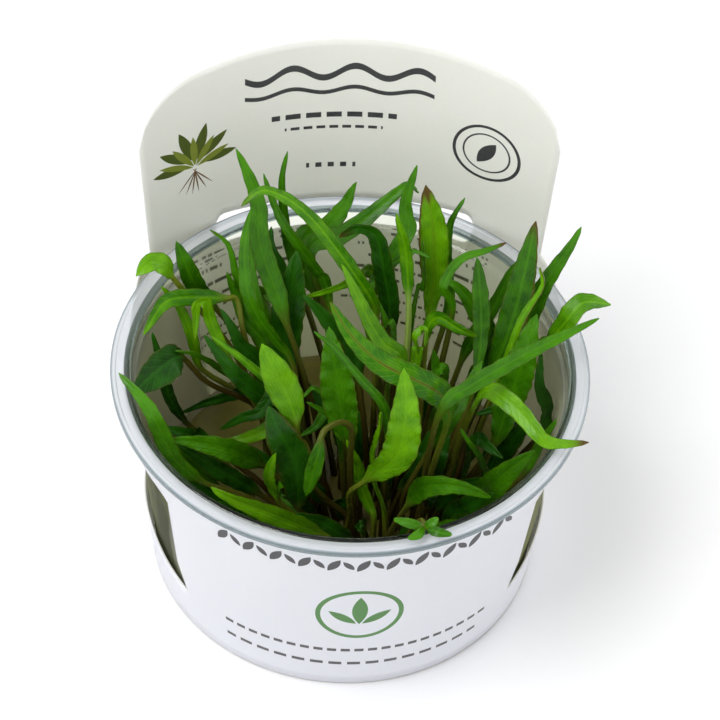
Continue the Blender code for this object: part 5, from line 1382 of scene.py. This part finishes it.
def leafMaterial(name, top, bright, under, stem):
    # living leaf: waxy skin over soft tissue, so light goes a little way in and the gloss is broken
    material, tree, shader = newMaterial(name, {
        "IOR": 1.42, "Specular IOR Level": 0.22, "Subsurface Weight": 0.12,
        "Subsurface Radius": (0.5, 1.0, 0.1), "Subsurface Scale": 0.0006, "Coat Weight": 0.1,
        "Coat Roughness": 0.14})
    coords = addNode(tree, "ShaderNodeTexCoord").outputs["Object"]
    values = {key: addNode(tree, "ShaderNodeAttribute", {"attribute_name": key}).outputs["Fac"]
              for key in ("blade", "brown", "under", "rib", "tip", "own", "wet", "edge", "grown", "pale")}
    uv = addNode(tree, "ShaderNodeUVMap", {"uv_map": "surface"}).outputs["UV"]
    parts = addNode(tree, "ShaderNodeSeparateXYZ", inputs={0: uv})
    mottle = addNode(tree, "ShaderNodeTexNoise", inputs={
        "Vector": coords, "Scale": 260.0, "Detail": 4.0}).outputs["Fac"]
    cells = addNode(tree, "ShaderNodeTexVoronoi", {"feature": "DISTANCE_TO_EDGE"},
                    {"Vector": coords, "Scale": 1700.0}).outputs["Distance"]
    # side veins leave the midrib every 2.4 mm and bend towards the tip
    given = {"along": parts.outputs[0], "v": parts.outputs[1], "mottle": mottle, "cells": cells, **values}
    known = workOut(tree, given, [
        ("alongMm", "MULTIPLY", "along", 100.0), ("v0", "SUBTRACT", "v", 0.5), ("d", "ABSOLUTE", "v0"),
        ("dMm", "MULTIPLY", "d", 20.0), ("bend", "POWER", "dMm", leafSurface["veinBend"]),
        ("lag", "MULTIPLY", "bend", leafSurface["veinLag"]), ("place", "SUBTRACT", "alongMm", "lag"),
        ("wobble", "MULTIPLY_ADD", "mottle", 1.1, "place"),
        ("turns", "MULTIPLY", "wobble", 2.0 * math.pi / leafSurface["veinPitch"]), ("wave", "SINE", "turns"),
        ("thin", "SUBTRACT", "wave", 0.82), ("vein0", "MULTIPLY", "thin", 5.0),
        ("vein1", "MAXIMUM", "vein0", 0.0), ("vein2", "MULTIPLY", "vein1", "blade"),
        ("streakTurns", "MULTIPLY", "dMm", 9.5), ("streak", "SINE", "streakTurns"),
        # towards the tip the green turns brighter and at the blade's foot darker: painted light and painted
        # shade, as tips stand in the light and bases deep in the clump
        ("ageAndLight", "MULTIPLY_ADD", "own", 0.45, 0.1), ("ageWithPaintedTipLight", "MULTIPLY_ADD", "tip", 0.35, "ageAndLight"),
        ("patch", "SUBTRACT", "mottle", 0.5), ("fresh0", "MULTIPLY_ADD", "patch", 1.7, "ageWithPaintedTipLight"),
        ("fresh1", "MULTIPLY_ADD", "streak", 0.07, "fresh0"), ("fresh2", "MAXIMUM", "fresh1", 0.0),
        ("freshWithPaintedLight", "MINIMUM", "fresh2", 1.0), ("veinShade", "MULTIPLY", "vein2", 0.3),
        ("ribShade", "MULTIPLY", "rib", 0.6), ("paler", "MAXIMUM", "veinShade", "ribShade"),
        ("edgeAll", "MULTIPLY", "edge", 0.6), ("brownPatch", "MULTIPLY_ADD", "patch", 1.2, "brown"),
        ("brownHere", "MULTIPLY", "brownPatch", "brown"), ("brownMore", "MULTIPLY", "brownHere", 1.6),
        ("brownAll", "MINIMUM", "brownMore", 0.92), ("underAll", "MULTIPLY", "under", 0.45)])
    colour = hexColour(top)
    for factor, code in (("freshWithPaintedLight", bright), ("paler", bright), ("underAll", under), ("edgeAll", "#43400c"),
                         ("brownAll", "#59351a")):
        colour = addNode(tree, "ShaderNodeMix", colourMix,
                         {0: known[factor], 6: colour, 7: hexColour(code)}).outputs[2]
    youth = workOut(tree, {"grown": values["grown"], "pale": values["pale"], "mottle": mottle}, [
        ("up", "POWER", "grown", 1.6), ("some", "MULTIPLY_ADD", "mottle", 0.5, "up"),
        ("share", "SUBTRACT", "some", 0.25), ("more", "MULTIPLY_ADD", "pale", 0.5, "share")])
    stalkColour = addNode(tree, "ShaderNodeMix", clampedMix,
                          {0: youth["more"], 6: hexColour("#3a2a0e"), 7: hexColour(stem)}).outputs[2]
    stalkColour = addNode(tree, "ShaderNodeMix", colourMix,
                          {0: values["pale"], 6: stalkColour, 7: hexColour("#8aa54a")}).outputs[2]
    colour = addNode(tree, "ShaderNodeMix", colourMix,
                     {0: values["blade"], 6: stalkColour, 7: colour}).outputs[2]
    tree.links.new(colour, shader.inputs["Base Color"])
    gloss = workOut(tree, {"mottle": mottle, "cells": cells, "wet": values["wet"]}, [
        ("r0", "MULTIPLY_ADD", "mottle", 0.36, 0.2), ("r1", "MULTIPLY_ADD", "cells", 0.12, "r0"),
        ("rough", "MULTIPLY_ADD", "wet", -0.24, "r1")])["rough"]
    tree.links.new(gloss, shader.inputs["Roughness"])
    height = workOut(tree, {"vein": known["vein2"], "cells": cells, "streak": known["streak"]}, [
        ("h0", "MULTIPLY", "vein", -0.8), ("h1", "MULTIPLY_ADD", "cells", 0.5, "h0"),
        ("h", "MULTIPLY_ADD", "streak", 0.12, "h1")])["h"]
    bump = addNode(tree, "ShaderNodeBump", inputs={"Height": height, "Strength": 0.5, "Distance": 0.0002})
    tree.links.new(bump.outputs["Normal"], shader.inputs["Normal"])
    return material


# one leaf skin in three tones: partly each leaf's own green, partly painted light for lit leaves and painted
# shade for the deep ones
leafMaterials = {
    "bright": leafMaterial("freshLeafSkinWithPaintedLight", "#2f6c01", "#6caa04", "#6f9436", "#66721c"),
    "green": leafMaterial("matureLeafSkin", "#1c4e01", "#478803", "#4e762a", "#565c1a"),
    "deep": leafMaterial("leafSkinWithPaintedShade", "#0f3602", "#276406", "#30561c", "#443f12"),
}
for seed, leaf in enumerate(leaves):
    if leaf["name"] == "young_shoot":
        continue
    fine = fineLeaf(leaf, seed)
    piece = leafMesh(leaf["name"].replace("leaf_", "blade_"), fine, leafMaterials[leaf["tone"]])
    dress(piece, "leaf_" + leaf["tone"], leaf["name"])
print("leaves made:", len(leaves) - 1)


def lowRoutes():
    luck = np.random.default_rng(lowLeaves["seed"])
    foot0 = stalk["footZ"]
    rows = {}
    for number in range(lowLeaves["count"]):
        angle = 2.0 * math.pi * (number * lowLeaves["turn"] + luck.uniform(0.0, 0.08))
        out = math.sqrt((number + 0.5) / lowLeaves["count"])
        way = np.array([math.cos(angle), math.sin(angle)])
        foot = np.array(lowLeaves["middle"]) + way * lowLeaves["reach"] * out * 0.9
        top = luck.uniform(*lowLeaves["top"])
        aside = np.array([-way[1], way[0]]) * luck.uniform(-4.0, 4.0)
        lean = lowLeaves["lean"] * (0.35 + 0.65 * out)
        points = [(*(foot + way * lean * share ** 1.6 + aside * share), foot0 + (top - foot0) * rise)
                  for share, rise in ((0.3, 0.42), (0.6, 0.75), (1.0, 1.0))]
        width = luck.uniform(*lowLeaves["width"])
        rows["low_leaf_%02d" % number] = (width, lowLeaves["bladeStart"], luck.uniform(-45.0, 45.0),
                                          lowLeaves["sections"], "deep", tuple(foot), *points)
    for number in range(frontLeaves["count"]):
        along = (number + luck.uniform(0.2, 0.8)) / frontLeaves["count"]
        angle = math.radians(frontLeaves["from"] + frontLeaves["sweep"] * along)
        turned = angle + luck.uniform(-0.2, 0.2)
        foot = np.array([math.cos(angle), math.sin(angle)]) * frontLeaves["footRadius"]
        tip = np.array([math.cos(turned), math.sin(turned)]) * luck.uniform(*frontLeaves["tipRadius"])
        top = luck.uniform(*frontLeaves["top"])
        points = [(*(foot + (tip - foot) * share), foot0 + (top - foot0) * rise)
                  for share, rise in ((0.25, 0.4), (0.6, 0.75), (1.0, 1.0))]
        width = luck.uniform(*frontLeaves["width"])
        tone = "deep" if number % 3 else "green"
        rows["low_leaf_front_%02d" % number] = (width, lowLeaves["bladeStart"], luck.uniform(-40.0, 40.0),
                                                lowLeaves["sections"], tone, tuple(foot), *points)
    return rows


# Small leaves of the clump that have no solid of their own, parted from the others, which stay
others = [dict(leaf, fixed=True) for leaf in leaves]
small = [drawnLeaf(name, row) for name, row in {**smallRoutes, **lowRoutes()}.items()]
clump = Clump(others + small)
rounds, lack = clump.part(parting["smallRounds"])
crowded = 0
for n, leaf in enumerate(small, start=len(others)):
    if leaf["name"].startswith("low_leaf") and clump.lacks[n] > lowLeaves["mostLack"]:
        crowded += 1     # no room for this one
        continue
    span = slice(clump.first[n], clump.first[n + 1])
    leaf["centres"], leaf["sides"], leaf["outs"] = clump.centres[span], clump.sides[span], clump.outs[span]
    piece = leafMesh(leaf["name"], fineLeaf(leaf, 100 + n), leafMaterials[leaf["tone"]])
    dress(piece, "leaf_" + leaf["tone"])
print("small leaves made:", len(small) - crowded, "in", rounds, "rounds")

# Young shoot at the front lip, its stem thinner than a stalk
shootSkin = leafMaterials["green"]
shootParts = []
stemLeaf = {"name": "shoot_stem", "centres": stemCentres, "width": 1.1, "bladeStart": 0.999, "widest": 0.5}
stemLeaf["sides"], stemLeaf["outs"] = sectionWays(stemCentres, 0.0)
savedStalk = dict(stalk)
stalk.update(radius=shoot["stemRadius"], topRadius=shoot["stemRadius"])
shootParts.append(leafMesh("shoot_stem", fineLeaf(stemLeaf, 200), shootSkin))
for number, route in enumerate(shoot["leaves"]):
    centres = alongCurve(route, 5)
    leaflet = {"name": "shoot_leaf", "centres": centres, "width": shoot["leafWidth"] * 1.15,
               "bladeStart": 0.02, "widest": 0.45}
    leaflet["sides"], leaflet["outs"] = sectionWays(centres, 10.0)
    shootParts.append(leafMesh("shoot_leaf_%d" % number, fineLeaf(leaflet, 210 + number), shootSkin))
stalk.update(savedStalk)
joined = bmesh.new()
for part in shootParts:
    joined.from_mesh(part.data)
shootMesh = bpy.data.meshes.new("shoot")
joined.to_mesh(shootMesh)
joined.free()
shootMesh.materials.append(shootSkin)
shootPiece = bpy.data.objects.new("lip_shoot", shootMesh)
bpy.context.scene.collection.objects.link(shootPiece)
for part in shootParts:
    bpy.data.objects.remove(part, do_unlink=True)
dress(shootPiece, "leaf_bright", "young_shoot")
print("young shoot made")
